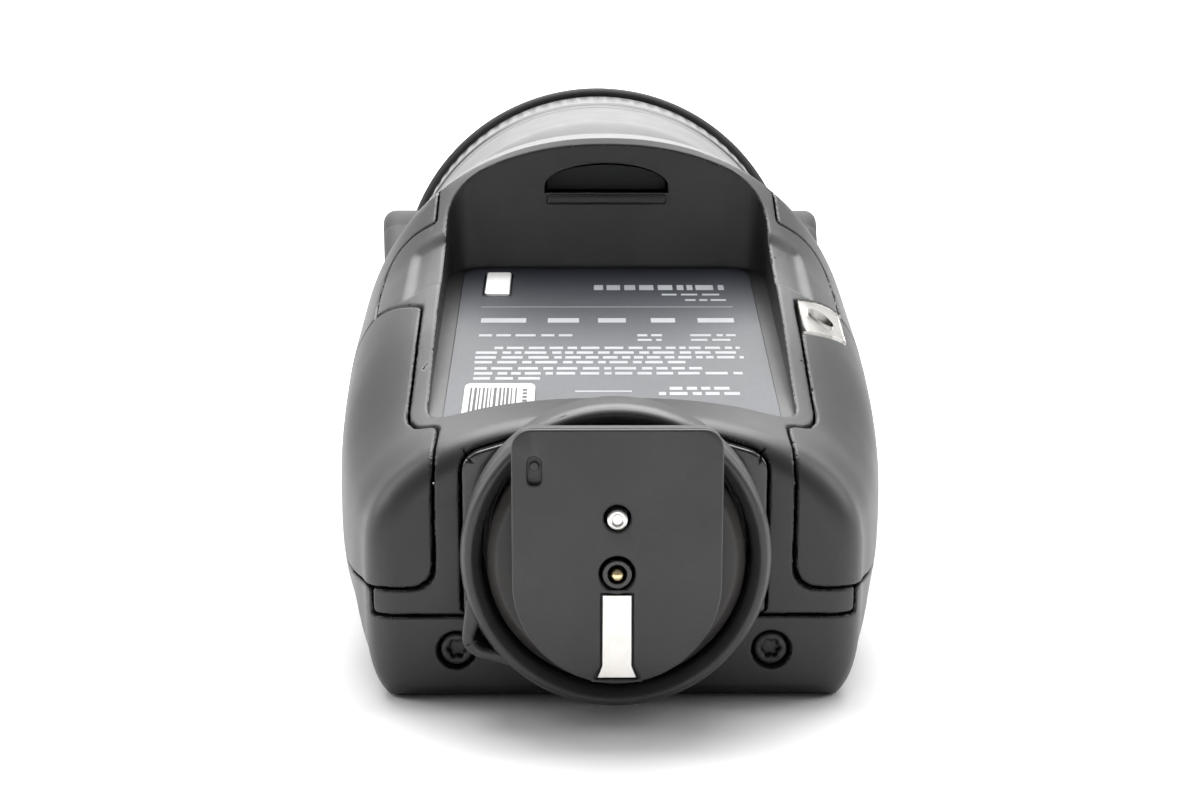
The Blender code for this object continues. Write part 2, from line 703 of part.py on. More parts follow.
def build_turret(turret, finishes):
    hub = turned(
        ((6, 80.5), (11.0, 80.5), (11.0, 86.5), (TURRET_RADIUS - 0.6, 86.5), (TURRET_RADIUS, 87.1),
         (TURRET_RADIUS, 90.4), (TURRET_RADIUS - 0.6, 91.0), (14, 91.0), (12.5, 93.2), (6, 93.2)),
        (0, HEAD_N), "a", 36,
    )
    solid("turret_base", hub, finishes["shell"], turret)
    clip = turned(((11.3, 81.6), (15.0, 81.6), (15.0, 83.4), (11.3, 83.4)), (0, HEAD_N), "a", 24)
    solid("turret_retainer", clip, finishes["nickel"], turret)

    stations = (91.3, 96, 102, 108, 114, 119, 122, 127.5, 133, 137.5, 141, 143.5, 145)
    for side, sign in (("left", -1), ("right", 1)):
        loops = []
        for a in stations:
            half, inner, outer = arm_half_height(a), ARM_INNER_X, arm_outer_x(a)
            bevel = min(1.6, half * 0.5, (outer - inner) * 0.6)
            loops.append([
                (sign * inner, a, HEAD_N - half), (sign * (outer - bevel), a, HEAD_N - half),
                (sign * outer, a, HEAD_N - half + bevel), (sign * outer, a, HEAD_N + half - bevel),
                (sign * (outer - bevel), a, HEAD_N + half), (sign * inner, a, HEAD_N + half),
            ])
        foot = box((16, 91.3, HEAD_N - 9), (30.5, 95.0, HEAD_N + 9))
        if sign < 0:
            foot = box((-30.5, 91.3, HEAD_N - 9), (-16, 95.0, HEAD_N + 9))
        bore = turned(((0, -45), (5.3, -45), (5.3, 45), (0, 45)), (PIVOT_A, HEAD_N), "x", 20)
        seat_low, seat_high = sorted((sign * 33.4, sign * 45))
        seat = turned(
            ((0, seat_low), (9.3, seat_low), (9.3, seat_high), (0, seat_high)), (PIVOT_A, HEAD_N), "x", 24
        )
        arm = cut(join(loft(loops), foot), bore, seat)
        solid("yoke_arm_" + side, arm, finishes["shell"], turret)
        near, far = sorted((sign * 24.5, sign * 33.1))
        pin = turned(((0, near), (5.0, near), (5.0, far), (0, far)), (PIVOT_A, HEAD_N), "x", 16)
        solid("pivot_pin_" + side, pin, finishes["nickel"], turret)
        near, far = sorted((sign * 33.7, sign * 35.1))
        cap = turned(((0, near), (9.0, near), (9.0, far), (0, far)), (PIVOT_A, HEAD_N), "x", 24)
        solid("pivot_cap_" + side, cap, finishes["satin"], turret)


# ---------------------------------------------------------------- head


def cone_radius(a):
    return BALL_RADIUS + (a - PIVOT_A) * HEAD_TAPER


def ball_profile(radius, start_radius, steps=6):
    """The rear of the head: part of a ball about the pivot, from a small opening to its widest."""
    first = math.asin(start_radius / radius)
    turns = [first + (math.pi / 2 - first) * k / steps for k in range(steps + 1)]
    return [(radius * math.sin(t), PIVOT_A - radius * math.cos(t)) for t in turns]


def build_head(head, finishes):
    split = 150.0
    outer = [*ball_profile(BALL_RADIUS, 6.0), (cone_radius(split), split)]
    inner_radius = BALL_RADIUS - 2.2
    hollow = [*ball_profile(inner_radius, 5.0), (cone_radius(split) - 2.2, split + 5)]
    body = turned([(0, outer[0][1]), *outer, (0, split)], (0, HEAD_N), "a", 40)
    body = keep(body, join(
        box((-FLAT_X, 90, -45), (FLAT_X, FLAT_END_A + 1, 50)),
        box((-45, FLAT_END_A, -45), (45, 160, 50)),
    ))
    core = turned([(0, hollow[0][1]), *hollow, (0, split + 5)], (0, HEAD_N), "a", 28)
    core = keep(core, box((2 - FLAT_X, 90, -45), (FLAT_X - 2, 160, 50)))
    cable = turned(((0, 90), (4.5, 90), (4.5, 102), (0, 102)), (0, HEAD_N), "a", 24)
    bore = turned(((0, -45), (5.3, -45), (5.3, 45), (0, 45)), (PIVOT_A, HEAD_N), "x", 20)
    solid("head_rear_shell", cut(body, core, cable, bore), finishes["shell"], head)

    start = split + GAP
    barrel = turned(
        ((30.0, start), (cone_radius(start), start), (cone_radius(154), 154.0), (32.6, 154.0),
         (32.6, 172.2), (30.0, 172.2)),
        (0, HEAD_N), "a", 40,
    )
    solid("head_barrel", barrel, finishes["shell"], head)

    rim = turned(
        ((33.2, 172.5), (36.7, 172.5), (RIM_RADIUS, 173.3), (RIM_RADIUS, 176.8), (36.9, 177.7),
         (RIM_LIP_RADIUS, RIM_FRONT_A), (34.4, RIM_FRONT_A), (33.2, 177.0)),
        (0, HEAD_N), "a", 48,
    )
    solid("front_rim", rim, finishes["rubber"], head)
    lens = turned(
        ((0, 173.2), (32.9, 173.2), (32.9, 174.6), (20, 176.0), (0, 176.4)),
        (0, HEAD_N), "a", 36,
    )
    solid("front_lens", lens, finishes["lens"], head)
    ring_board = turned(((26.0, 168.8), (29.5, 168.8), (29.5, 170.2), (26.0, 170.2)), (0, HEAD_N), "a", 24)
    solid("modelling_light_board", ring_board, finishes["board"], head)

    zoom_axis = joint_empty("zoom_ring_axis", (0, 154.3, HEAD_N), head)
    grip = turned(
        ((32.9, 154.3), (34.3, 154.3), (35.0, 155.2), (35.9, 171.0), (35.2, 172.2), (32.9, 172.2)),
        (0, HEAD_N), "a", 40,
    )
    solid("zoom_ring", grip, finishes["rubber"], zoom_axis)

    carriage = joint_empty("lamp_carriage_axis", (0, 128, HEAD_N), head)
    cup = turned(
        ((7.0, 131.0), (12, 133), (18, 139), (23.6, 150), (23.6, 151), (22.8, 151),
         (17.2, 140), (11.4, 134), (7.0, 132.2)),
        (0, HEAD_N), "a", 24,
    )
    solid("reflector", cup, finishes["mirror"], carriage)
    holder = turned(((0, 126), (10, 126), (10, 130.6), (0, 130.6)), (0, HEAD_N), "a", 20)
    solid("lamp_carriage", holder, finishes["board"], carriage)
    tube = turned(((0, 131.0), (4.2, 131.0), (4.2, 141.0), (3.0, 143.0), (0, 143.6)), (0, HEAD_N), "a", 14)
    solid("flash_tube", tube, finishes["tube"], carriage)


# ---------------------------------------------------------------- finishes and assembly


def make_finishes():
    return {
        "shell": material("shell_black", (0.030, 0.030, 0.032), 0.50),
        "soft": material("soft_cover_black", (0.028, 0.028, 0.030), 0.58),
        "gloss": material("gloss_black", (0.020, 0.020, 0.022), 0.25),
        "satin": material("satin_ring_black", (0.032, 0.031, 0.031), 0.42),
        "disc": material("base_disc_black", (0.035, 0.031, 0.029), 0.45),
        "foot": material("foot_black", (0.036, 0.036, 0.038), 0.46),
        "rubber": material("rubber_black", (0.022, 0.022, 0.022), 0.70),
        "nickel": material("nickel", (0.72, 0.70, 0.66), 0.22, 1.0),
        "gold": material("contact_gold", (0.80, 0.62, 0.30), 0.24, 1.0),
        "mirror": material("reflector_aluminium", (0.88, 0.88, 0.88), 0.12, 1.0),
        "screw": material("screw_black", (0.045, 0.045, 0.047), 0.38, 0.7),
        "label": material("label_foil", (0.045, 0.050, 0.060), 0.22),
        "paper": material("sticker_white", (0.80, 0.80, 0.78), 0.55),
        "glass": material("display_glass", (0.010, 0.010, 0.012), 0.06),
        "lens": material("front_lens", (0.80, 0.82, 0.82), 0.18),
        "board": material("circuit_board", (0.02, 0.12, 0.05), 0.45),
        "sleeve": material("capacitor_sleeve", (0.03, 0.04, 0.09), 0.40),
        "copper": material("transformer_winding", (0.55, 0.27, 0.12), 0.40, 0.6),
        "tube": material("flash_tube_glass", (0.85, 0.82, 0.74), 0.10),
    }


def main():
    clear_scene()
    finishes = make_finishes()
    resting = joint_empty("resting_frame")
    resting.location = (0, -MIDDLE_Y * MM, 0)
    frame = joint_empty("flash_frame")
    frame.location = (0, -MIDDLE_Y * MM, LIFT * MM)
    frame.rotation_euler = (TILT, 0, 0)
    build_body(frame, finishes)
    build_controls(resting, finishes)
    build_port(frame, finishes)
    build_shoe(frame, finishes)
    build_bay(frame, finishes)
    turret = joint_empty("swivel_axis", (0, BODY_END, HEAD_N), frame)
    build_turret(turret, finishes)
    head = joint_empty("tilt_axis", (0, PIVOT_A, HEAD_N), turret)
    build_head(head, finishes)


main()
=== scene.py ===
import json
import math
import random
import bmesh
import bpy
from mathutils import Matrix, Vector
from mathutils.kdtree import KDTree


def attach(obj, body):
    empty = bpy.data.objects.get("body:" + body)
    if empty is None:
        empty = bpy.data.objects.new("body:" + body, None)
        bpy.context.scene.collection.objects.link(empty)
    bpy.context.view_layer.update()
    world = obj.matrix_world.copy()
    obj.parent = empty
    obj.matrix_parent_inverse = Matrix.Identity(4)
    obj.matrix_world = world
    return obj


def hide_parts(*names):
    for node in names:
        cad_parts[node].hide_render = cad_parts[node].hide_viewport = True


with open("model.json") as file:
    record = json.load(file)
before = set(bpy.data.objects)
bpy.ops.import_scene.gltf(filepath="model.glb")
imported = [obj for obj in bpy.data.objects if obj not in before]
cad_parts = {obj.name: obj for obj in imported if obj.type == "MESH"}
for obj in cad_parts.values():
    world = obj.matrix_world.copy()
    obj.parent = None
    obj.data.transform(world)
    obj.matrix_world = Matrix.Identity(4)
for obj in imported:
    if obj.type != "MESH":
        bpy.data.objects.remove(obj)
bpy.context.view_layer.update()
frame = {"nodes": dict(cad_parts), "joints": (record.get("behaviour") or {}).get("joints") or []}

MM = 0.001
SCENE = bpy.context.scene

# ------------------------------------------------------------------ frames
# Lengths are millimetres in the flash's own frame: x across, a along from the foot's face
# to the head, n up out of the battery bay. The controls on the back are in the resting
# frame, whose axes are the row's.
JOINTS = {joint["name"]: joint for joint in frame["joints"]}
ALONG = Vector(JOINTS["head_swivel"]["axis"]).normalized()
ACROSS = Vector((1, 0, 0))
UP = ACROSS.cross(ALONG)
BODY_END, HEAD_N = 86.0, 3.0
ORIGIN = Vector(JOINTS["head_swivel"]["pos_m"]) - (ALONG * BODY_END + UP * HEAD_N) * MM
DIAL_Y = 33.5
RESTING_ORIGIN = Vector(JOINTS["dial_turn"]["pos_m"]) - Vector((0, DIAL_Y * MM, 0))
FLASH = Matrix.Translation(ORIGIN) @ Matrix((ACROSS, ALONG, UP)).transposed().to_4x4() @ Matrix.Scale(MM, 4)
RESTING = Matrix.Translation(RESTING_ORIGIN) @ Matrix.Scale(MM, 4)

# ------------------------------------------------------------------ dimensions, as the CAD has them
GAP = 0.3
HALF_GAP = GAP / 2
WALL = 2.0
BODY_START = 12.0
HALF_WIDTH = (
    (12, 23.9), (15, 24.4), (20, 26.1), (27, 28.0), (36, 29.5), (46, 30.4), (57, 31.2), (70, 31.6),
)
WIDEST_AT = ((12, -3.5), (27, -2.8), (50, 1.4), (70, 3.1))
CROWN = ((12, 10.2), (22, 10.4), (40, 18.0), (56, 26.0), (66, 34.6))
UPPER_POWER = ((12, 2.2), (40, 2.7), (66, 2.2))
LOWER_POWER = ((12, 6.3), (25, 3.0), (40, 3.6), (70, 2.9))
END_ROUND = 3.0
BACK_N = -17.8
BACK_SLOPE = 16.7 / 161.6
PIVOT_A = 127.5
RIM_RADIUS = 37.5
BALL_RADIUS = 32.4
HEAD_TAPER = 0.081
FLAT_X = 29.2
FLAT_END_A = 146.4
TURRET_RADIUS = 28.0
ARM_INNER_X, ARM_END_RADIUS = 29.5, 18.0
PARTING_M, COVER_FOOT_M, COVER_CORNER, STRIP_HALF = -9.2, -6.5, 2.6, 23.5
BAY_NEAR_A, BAY_FAR_A = 21.8, 65.0
BAY_NEAR_HALF, BAY_FAR_HALF = 18.9, 19.6
FLOOR_FAR_N, FLOOR_SLOPE = 18.6, 0.279
FOOT_HALF, FOOT_TOP, FOOT_BOTTOM, FOOT_THICK = 9.3, 11.7, -11.6, 2.0
CONTACT_N, LOCK_PIN_N = -1.35, 3.7
DISC_RADIUS, STUD_RADIUS = 11.9, 6.0
RING_INNER, RING_OUTER, RING_FRONT, RING_BACK = 12.35, 14.3, 3.9, 9.5
TAB_ANGLE = math.radians(211)
TAB_EDGE = (
    (13.3, -0.36), (14.3, -0.26), (15.3, -0.13), (16.2, -0.04), (16.4, 0.02), (16.0, 0.09), (15.1, 0.16),
    (14.3, 0.26), (13.3, 0.36),
)
TAB_HOLE = ((13.35, -0.13), (15.2, -0.01), (15.0, 0.06), (13.35, 0.2))
SWITCH_Y, SWITCH_SLOT = 47.4, 9.0
BUTTONS = (
    ("test_button", -18.2, 26.5), ("power_button", 18.2, 26.5),
    ("function_button_left", -18.2, 39.0), ("function_button_right", 18.2, 39.0),
)
SCREW_X, SCREW_N = 15.25, -12.7
PORT_A = 67.0
COVER_INNER_EDGE = [
    (17.3, 5, 0), (17.3, 20, 1.2), (19.7, 22, 1.0), (21.0, 25, 1.5), (21.1, 43.9, 0.5), (27.2, 50.4, 0.5),
    (31, 51.1, 0.5), (40, 52.8, 0),
]
NECK_SIDE = [
    (40, 52.8, 0), (31, 51.1, 0.5), (27.2, 50.4, 0.5), (27.4, 56, 2), (26.9, 60.4, 1.2), (25.9, 61.9, 0.8),
    (24.2, 62.0, 1), (20.9, 60.8, 0.6), (20.9, 67.3, 0),
]
SOCKET_OUTLINE = [
    (21.2, 38.8, 0.3), (24.1, 41.0, 1.2), (26.9, 43.8, 0.3), (26.9, 50.4, 0.3), (22.8, 46.6, 1.2), (21.2, 45.2, 0.3),
]
SOCKET_BORE = (23.8, 44.1)
PANEL_OUTLINE = [
    (-14.6, -8.9, 0.8), (14.6, -8.9, 0.8), (14.6, 6.2, 1.2), (13.4, 7.2, 0.8), (9.4, 8.4, 1.0),
    (-9.4, 8.4, 1.0), (-13.4, 7.2, 0.8), (-14.6, 6.2, 1.2),
]

# What a cutter's faces are called, and how far the outer edge that they leave is rounded.
SKIN, SEAM, RIM, INSIDE = 0, 1, 2, 3
EDGE_ROUND = {SEAM: 0.26, RIM: 0.32}


# ------------------------------------------------------------------ mesh helpers
def closed(mesh, index=SKIN):
    bmesh.ops.recalc_face_normals(mesh, faces=mesh.faces)
    for face in mesh.faces:
        face.material_index = index
    return mesh


def ringed(loop):
    """The loops that divide a flat end into bands, from the middle out."""
    centre = sum((Vector(point) for point in loop), Vector()) / len(loop)
    return [[centre.lerp(Vector(point), share) for point in loop] for share in (0.3, 0.6, 0.8, 0.9, 0.95, 0.98)]


def loft(loops, index=SKIN):
    """A closed body through loops of equal count, with flat ends."""
    mesh = bmesh.new()
    rings = [[mesh.verts.new(point) for point in loop] for loop in loops]
    count = len(rings[0])
    for low, high in zip(rings, rings[1:]):
        for i in range(count):
            j = (i + 1) % count
            mesh.faces.new((low[i], low[j], high[j], high[i]))
    mesh.faces.new(reversed(rings[0]))
    mesh.faces.new(rings[-1])
    return closed(mesh, index)


def prism(outline, low, high, index=SEAM):
    return loft([[low(u, v) for u, v in outline], [high(u, v) for u, v in outline]], index)


def along_a(outline, start, end, index=SEAM):
    return prism(outline, lambda x, n: (x, start, n), lambda x, n: (x, end, n), index)


def upright(outline, start, end, index=SEAM):
    return prism(outline, lambda x, y: (x, y, start), lambda x, y: (x, y, end), index)


def box(low, high, index=SEAM):
    corners = ((low[0], low[1]), (high[0], low[1]), (high[0], high[1]), (low[0], high[1]))
    return upright(corners, low[2], high[2], index)


def rounded(corners, steps=6):
    """Rounds each (u, v, radius) corner of a polygon with a quadratic arc."""
    outline = []
    for i, (u, v, radius) in enumerate(corners):
        here = Vector((u, v))
        before = Vector(corners[i - 1][:2]) - here
        after = Vector(corners[(i + 1) % len(corners)][:2]) - here
        if radius == 0:
            outline.append((u, v))
            continue
        start = here + before.normalized() * min(radius, before.length / 2)
        end = here + after.normalized() * min(radius, after.length / 2)
        for k in range(steps + 1):
            t = k / steps
            point = start * (1 - t) ** 2 + here * 2 * t * (1 - t) + end * t**2
            outline.append((point.x, point.y))
    return outline


def rounded_box(u0, v0, u1, v1, radius, steps=6):
    return rounded([(u0, v0, radius), (u1, v0, radius), (u1, v1, radius), (u0, v1, radius)], steps)


def circle(u, v, radius, segments=48):
    turns = [math.tau * i / segments for i in range(segments)]
    return [(u + radius * math.cos(t), v + radius * math.sin(t)) for t in turns]


def offset(outline, distance):
    """The outline moved outwards by a distance, its corners mitred."""
    area = sum(p[0] * q[1] - q[0] * p[1] for p, q in zip(outline, [*outline[1:], outline[0]]))
    side = distance if area > 0 else -distance
    moved = []
    for i, point in enumerate(outline):
        before = (Vector(point) - Vector(outline[i - 1])).normalized()
        after = (Vector(outline[(i + 1) % len(outline)]) - Vector(point)).normalized()
        normal_before = Vector((before.y, -before.x))
        normal_after = Vector((after.y, -after.x))
        mitre = (normal_before + normal_after).normalized()
        reach = side / max(0.3, mitre.dot(normal_before))
        moved.append((point[0] + mitre.x * reach, point[1] + mitre.y * reach))
    return moved


def softened_profile(profile, radius, steps=4):
    """A lathe profile with every corner off the axis rounded."""
    corners = [(r, h, 0 if r < 1e-6 else radius) for r, h in profile]
    if profile[0][0] < 1e-6:
        made = rounded(corners, steps)
        return made
    return rounded(corners, steps)


def turned(profile, centre, axis="a", segments=96, index=SEAM, wave=None):
    """A solid of revolution. The profile holds (radius, height) points in order."""
    places = {
        "a": lambda r, h, t: (centre[0] + r * math.cos(t), h, centre[1] + r * math.sin(t)),
        "x": lambda r, h, t: (h, centre[0] + r * math.cos(t), centre[1] + r * math.sin(t)),
        "z": lambda r, h, t: (centre[0] + r * math.cos(t), centre[1] + r * math.sin(t), h),
    }
    place = places[axis]
    mesh = bmesh.new()
    rings = []
    for radius, height in profile:
        if radius < 1e-6:
            rings.append([mesh.verts.new(place(0, height, 0))] * segments)
        else:
            turns = [math.tau * k / segments for k in range(segments)]
            rings.append([
                mesh.verts.new(place(radius + (wave(radius, height, t) if wave else 0), height, t)) for t in turns
            ])
    pairs = list(zip(rings, rings[1:]))
    if profile[0][0] > 1e-6 or profile[-1][0] > 1e-6:
        pairs.append((rings[-1], rings[0]))
    for low, high in pairs:
        for i in range(segments):
            j = (i + 1) % segments
            corners = []
            for corner in (low[i], low[j], high[j], high[i]):
                if corner not in corners:
                    corners.append(corner)
            if len(corners) > 2:
                mesh.faces.new(corners)
    return closed(mesh, index)


def plate(contours, low, high, bevel, spot, steps=3, bottom_bevel=None):
    """A flat piece with rounded edges. The first contour is the outside and the rest are holes."""
    mesh = bmesh.new()
    under = bevel if bottom_bevel is None else bottom_bevel
    levels = []
    for i in range(steps + 1):
        turn = math.pi / 2 * i / steps
        levels.append((low + under * (1 - math.cos(turn)), under * (1 - math.sin(turn))))
    for i in range(steps + 1):
        turn = math.pi / 2 * (1 - i / steps)
        levels.append((high - bevel * (1 - math.cos(turn)), bevel * (1 - math.sin(turn))))
    ends = ([], [])
    for k, contour in enumerate(contours):
        side = -1 if k == 0 else 1
        rings = []
        for height, inset in levels:
            line = offset(contour, side * inset) if inset > 1e-6 else contour
            rings.append([mesh.verts.new(spot(u, v, height)) for u, v in line])
        count = len(contour)
        for one, two in zip(rings, rings[1:]):
            for i in range(count):
                j = (i + 1) % count
                mesh.faces.new((one[i], one[j], two[j], two[i]))
        for end, ring in zip(ends, (rings[0], rings[-1])):
            end.extend(mesh.edges.get((ring[i], ring[(i + 1) % count])) for i in range(count))
    for end in ends:
        bmesh.ops.triangle_fill(mesh, use_beauty=True, use_dissolve=False, edges=end)
    return closed(mesh, SEAM)


def on_foot(u, v, w):
    return (u, w, v)


def on_back(u, v, w):
    return (u, v, w)


def merged(base, *others):
    for other in others:
        data = bpy.data.meshes.new("part")
        other.to_mesh(data)
        other.free()
        base.from_mesh(data)
        bpy.data.meshes.remove(data)
    return base


def temporary(mesh):
    data = bpy.data.meshes.new("temporary")
    mesh.to_mesh(data)
    mesh.free()
    for _ in range(4):
        data.materials.append(None)
    made = bpy.data.objects.new("temporary", data)
    SCENE.collection.objects.link(made)
    return made


def combine(base, tool, operation):
    """The Boolean of two closed bodies, as a new bmesh. Both are used up."""
    target, other = temporary(base), temporary(tool)
    step = target.modifiers.new("combine", "BOOLEAN")
    step.operation = operation
    step.solver = "MANIFOLD"
    step.object = other
    bpy.context.view_layer.update()
    evaluated = target.evaluated_get(bpy.context.evaluated_depsgraph_get())
    result = bmesh.new()
    result.from_mesh(evaluated.to_mesh())
    evaluated.to_mesh_clear()
    for used in (target, other):
        data = used.data
        bpy.data.objects.remove(used, do_unlink=True)
        bpy.data.meshes.remove(data)
    bmesh.ops.remove_doubles(result, verts=result.verts, dist=0.0005)
    bmesh.ops.dissolve_degenerate(result, edges=result.edges, dist=0.0005)
    return result


def cut(base, *tools):
    for tool in tools:
        base = combine(base, tool, "DIFFERENCE")
    return base


def keep(base, tool):
    return combine(base, tool, "INTERSECT")


def join(base, *tools):
    for tool in tools:
        base = combine(base, tool, "UNION")
    return base


def skin_normal(vertex):
    total = Vector((0, 0, 0))
    for face in vertex.link_faces:
        if face.material_index == SKIN:
            total += face.normal * face.calc_area()
    return total.normalized() if total.length > 0 else vertex.normal.copy()


def soften(mesh, rounds=EDGE_ROUND, finest=0.2):
    """Rounds the outer skin down to each edge that a cutter left in it."""
    faces = [face for face in mesh.faces if face.material_index == SKIN]
    bmesh.ops.triangulate(mesh, faces=faces, quad_method="BEAUTY", ngon_method="BEAUTY")
    trees = {}
    for kind in rounds:
        points = []
        for edge in mesh.edges:
            kinds = [face.material_index for face in edge.link_faces]
            if SKIN in kinds and kind in kinds:
                start, end = (vertex.co for vertex in edge.verts)
                count = max(1, int((end - start).length / 0.12))
                points += [start.lerp(end, k / count) for k in range(count + 1)]
        tree = KDTree(len(points))
        for i, point in enumerate(points):
            tree.insert(point, i)
        tree.balance()
        if points:
            trees[kind] = tree
    def target_length(point):
        longest = 99.0
        for kind, tree in trees.items():
            radius = rounds[kind]
            distance = tree.find(point)[2]
            if distance < radius * 1.25:
                longest = min(longest, finest)
            elif distance < radius * 2.5 + 0.2:
                longest = min(longest, 0.6)
        return longest
    for _ in range(7):
        long_edges = []
        for edge in mesh.edges:
            if not any(face.material_index == SKIN for face in edge.link_faces):
                continue
            length = edge.calc_length()
            if length <= finest:
                continue
            start, end = (vertex.co for vertex in edge.verts)
            if length > min(target_length(point) for point in (start, (start + end) / 2, end)):
                long_edges.append(edge)
        if not long_edges:
            break
        bmesh.ops.subdivide_edges(mesh, edges=long_edges, cuts=1, use_grid_fill=False)
        faces = [face for face in mesh.faces if face.material_index == SKIN and len(face.verts) > 3]
        bmesh.ops.triangulate(mesh, faces=faces, quad_method="BEAUTY", ngon_method="BEAUTY")
    mesh.normal_update()
    moves = []
    for vertex in mesh.verts:
        if not any(face.material_index == SKIN for face in vertex.link_faces):
            continue
        depth = 0.0
        for kind, tree in trees.items():
            radius = rounds[kind]
            distance = tree.find(vertex.co)[2]
            if distance < radius:
                depth = max(depth, radius - math.sqrt(radius**2 - (radius - distance) ** 2))
        if depth > 0:
            moves.append((vertex, skin_normal(vertex) * depth))
    for vertex, move in moves:
        vertex.co -= move
    return mesh


def piece(name, mesh, finish, body, stands_for=(), frame_matrix=FLASH, sharp=35):
    """The finished object: in the row frame, riding on its body."""
    data = bpy.data.meshes.new(name)
    for face in mesh.faces:
        face.material_index = 0
    mesh.transform(frame_matrix)
    mesh.to_mesh(data)
    mesh.free()
    data.materials.append(finish)
    data.shade_smooth()
    data.set_sharp_from_angle(angle=math.radians(sharp))
    made = bpy.data.objects.new(name, data)
    SCENE.collection.objects.link(made)
    step = made.modifiers.new("even shading", "WEIGHTED_NORMAL")
    step.keep_sharp = True
    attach(made, body)
    if stands_for:
        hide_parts(*stands_for)
    return made


# ------------------------------------------------------------------ body
def eased(stations, a):
    """A monotone cubic through (a, value) stations, flat beyond both ends."""
    if a <= stations[0][0]:
        return stations[0][1]
    if a >= stations[-1][0]:
        return stations[-1][1]
    steps = [(q[1] - p[1]) / (q[0] - p[0]) for p, q in zip(stations, stations[1:])]
    slopes = [steps[0]]
    for before, after in zip(steps, steps[1:]):
        slopes.append(0 if before * after <= 0 else 2 * before * after / (before + after))
    slopes.append(steps[-1])
    i = max(k for k in range(len(steps)) if stations[k][0] <= a)
    (a0, v0), (a1, v1) = stations[i], stations[i + 1]
    width = a1 - a0
    t = (a - a0) / width
    rise = v0 * (1 + 2 * t) * (1 - t) ** 2 + v1 * t * t * (3 - 2 * t)
    return rise + width * (slopes[i] * t * (1 - t) ** 2 - slopes[i + 1] * t * t * (1 - t))


def back_line(a):
    return BACK_N - BACK_SLOPE * (a - BODY_START)


def from_back(m, a):
    return back_line(a) - BACK_N + m


def section(a, inset, count):
    """One cross-section, with its points spread evenly along it."""
    half = eased(HALF_WIDTH, a) - inset
    middle = eased(WIDEST_AT, a)
    crown = eased(CROWN, a) - inset
    flat = back_line(a) + inset
    upper, lower = eased(UPPER_POWER, a), eased(LOWER_POWER, a)
    depth = middle - flat + 2.5
    short = max(0.0, BODY_START + END_ROUND - a) if not inset else 0.0
    trim = END_ROUND - math.sqrt(END_ROUND**2 - short**2)
    trim += max(0.0, a - BODY_END + 1.4) * 0.8 if not inset else 0.0
    half, crown, flat = half - trim, crown - trim * 0.8, flat + trim * 0.5
    raw = []
    fine = 600
    for i in range(fine + 1):
        turn = math.tau * i / fine
        c, s = math.cos(turn), math.sin(turn)
        power, height = (upper, crown - middle) if s > 0 else (lower, depth - trim * 0.5)
        x = half * math.copysign(abs(c) ** (2 / power), c)
        n = middle + height * math.copysign(abs(s) ** (2 / power), s)
        raw.append((x, max(n, flat)))
    lengths = [0.0]
    for p, q in zip(raw, raw[1:]):
        lengths.append(lengths[-1] + math.hypot(q[0] - p[0], q[1] - p[1]))
    points, k = [], 0
    for i in range(count):
        goal = lengths[-1] * (i + 0.5) / count
        while lengths[k + 1] < goal:
            k += 1
        t = (goal - lengths[k]) / (lengths[k + 1] - lengths[k])
        x = raw[k][0] + (raw[k + 1][0] - raw[k][0]) * t
        n = raw[k][1] + (raw[k + 1][1] - raw[k][1]) * t
        points.append((x, a, n))
    return points


FRONT_STATIONS = [12, 12.03, 12.12, 12.3, 12.6, 13.0, 13.5, 14.2, 15]
SKIN_STATIONS = FRONT_STATIONS + [16 + 1.0 * k for k in range(68)] + [84.2, 84.6, 85.2, 85.7, 86]
INNER_STATIONS = (14, 19, 23, 28, 34, 41, 48, 54, 59, 62, 64, 66, 72, 84)
SKIN_POINTS = 168


def body_solid():
    loops = [section(a, 0.0, SKIN_POINTS) for a in SKIN_STATIONS]
    return loft([*ringed(loops[0]), *loops, *reversed(ringed(loops[-1]))], SKIN)


def body_hollow():
    return loft([section(a, WALL, 48) for a in INNER_STATIONS], INSIDE)


def body_shell():
    return cut(body_solid(), body_hollow())


def below_seam(margin):
    low, step, side = PARTING_M + margin, COVER_FOOT_M + margin, STRIP_HALF - margin
    corners = (
        (-50, -40, 0), (50, -40, 0), (50, step, 0), (side, step, 0.6),
        (side, low, 0.6), (-side, low, 0.6), (-side, step, 0.6), (-50, step, 0),
    )
    return prism(rounded(corners), lambda x, m: (x, 0, from_back(m, 0)), lambda x, m: (x, 100, from_back(m, 100)))


def column(outline, bottom=-60, top=80, index=SEAM):
    return prism(outline, lambda x, a: (x, a, bottom), lambda x, a: (x, a, top), index)


def mirrored(outline):
    return [(-x, *rest) for x, *rest in reversed(outline)]


def floor_n(a):
    return FLOOR_FAR_N - FLOOR_SLOPE * (BAY_FAR_A - a)


def on_floor(outline, low, high, index=RIM):
    return prism(
        outline,
        lambda x, a: (x, a, floor_n(a) + low),
        lambda x, a: (x, a, high if high > 50 else floor_n(a) + high),
        index,
    )


def neck_outline():
    return rounded([*NECK_SIDE, *mirrored(NECK_SIDE), (-40, 95, 0), (40, 95, 0)])


def cover_space(sign, margin):
    """The room of one side cover: outside its inner edge, and above its foot."""
    outline = [(40, 5, 0), *reversed(COVER_INNER_EDGE)]
    inner, foot = COVER_INNER_EDGE[0][0] - margin, COVER_FOOT_M - margin
    front = [(60, foot, 0), (60, 60, 0), (inner, 60, 0), (inner, foot, COVER_CORNER)]
    if sign < 0:
        outline = mirrored(outline)
        front = [(-x, m, radius) for x, m, radius in reversed(front)]
    above = prism(rounded(front), lambda x, m: (x, 0, from_back(m, 0)), lambda x, m: (x, 100, from_back(m, 100)))
    return keep(column(offset(rounded(outline), margin)), above)


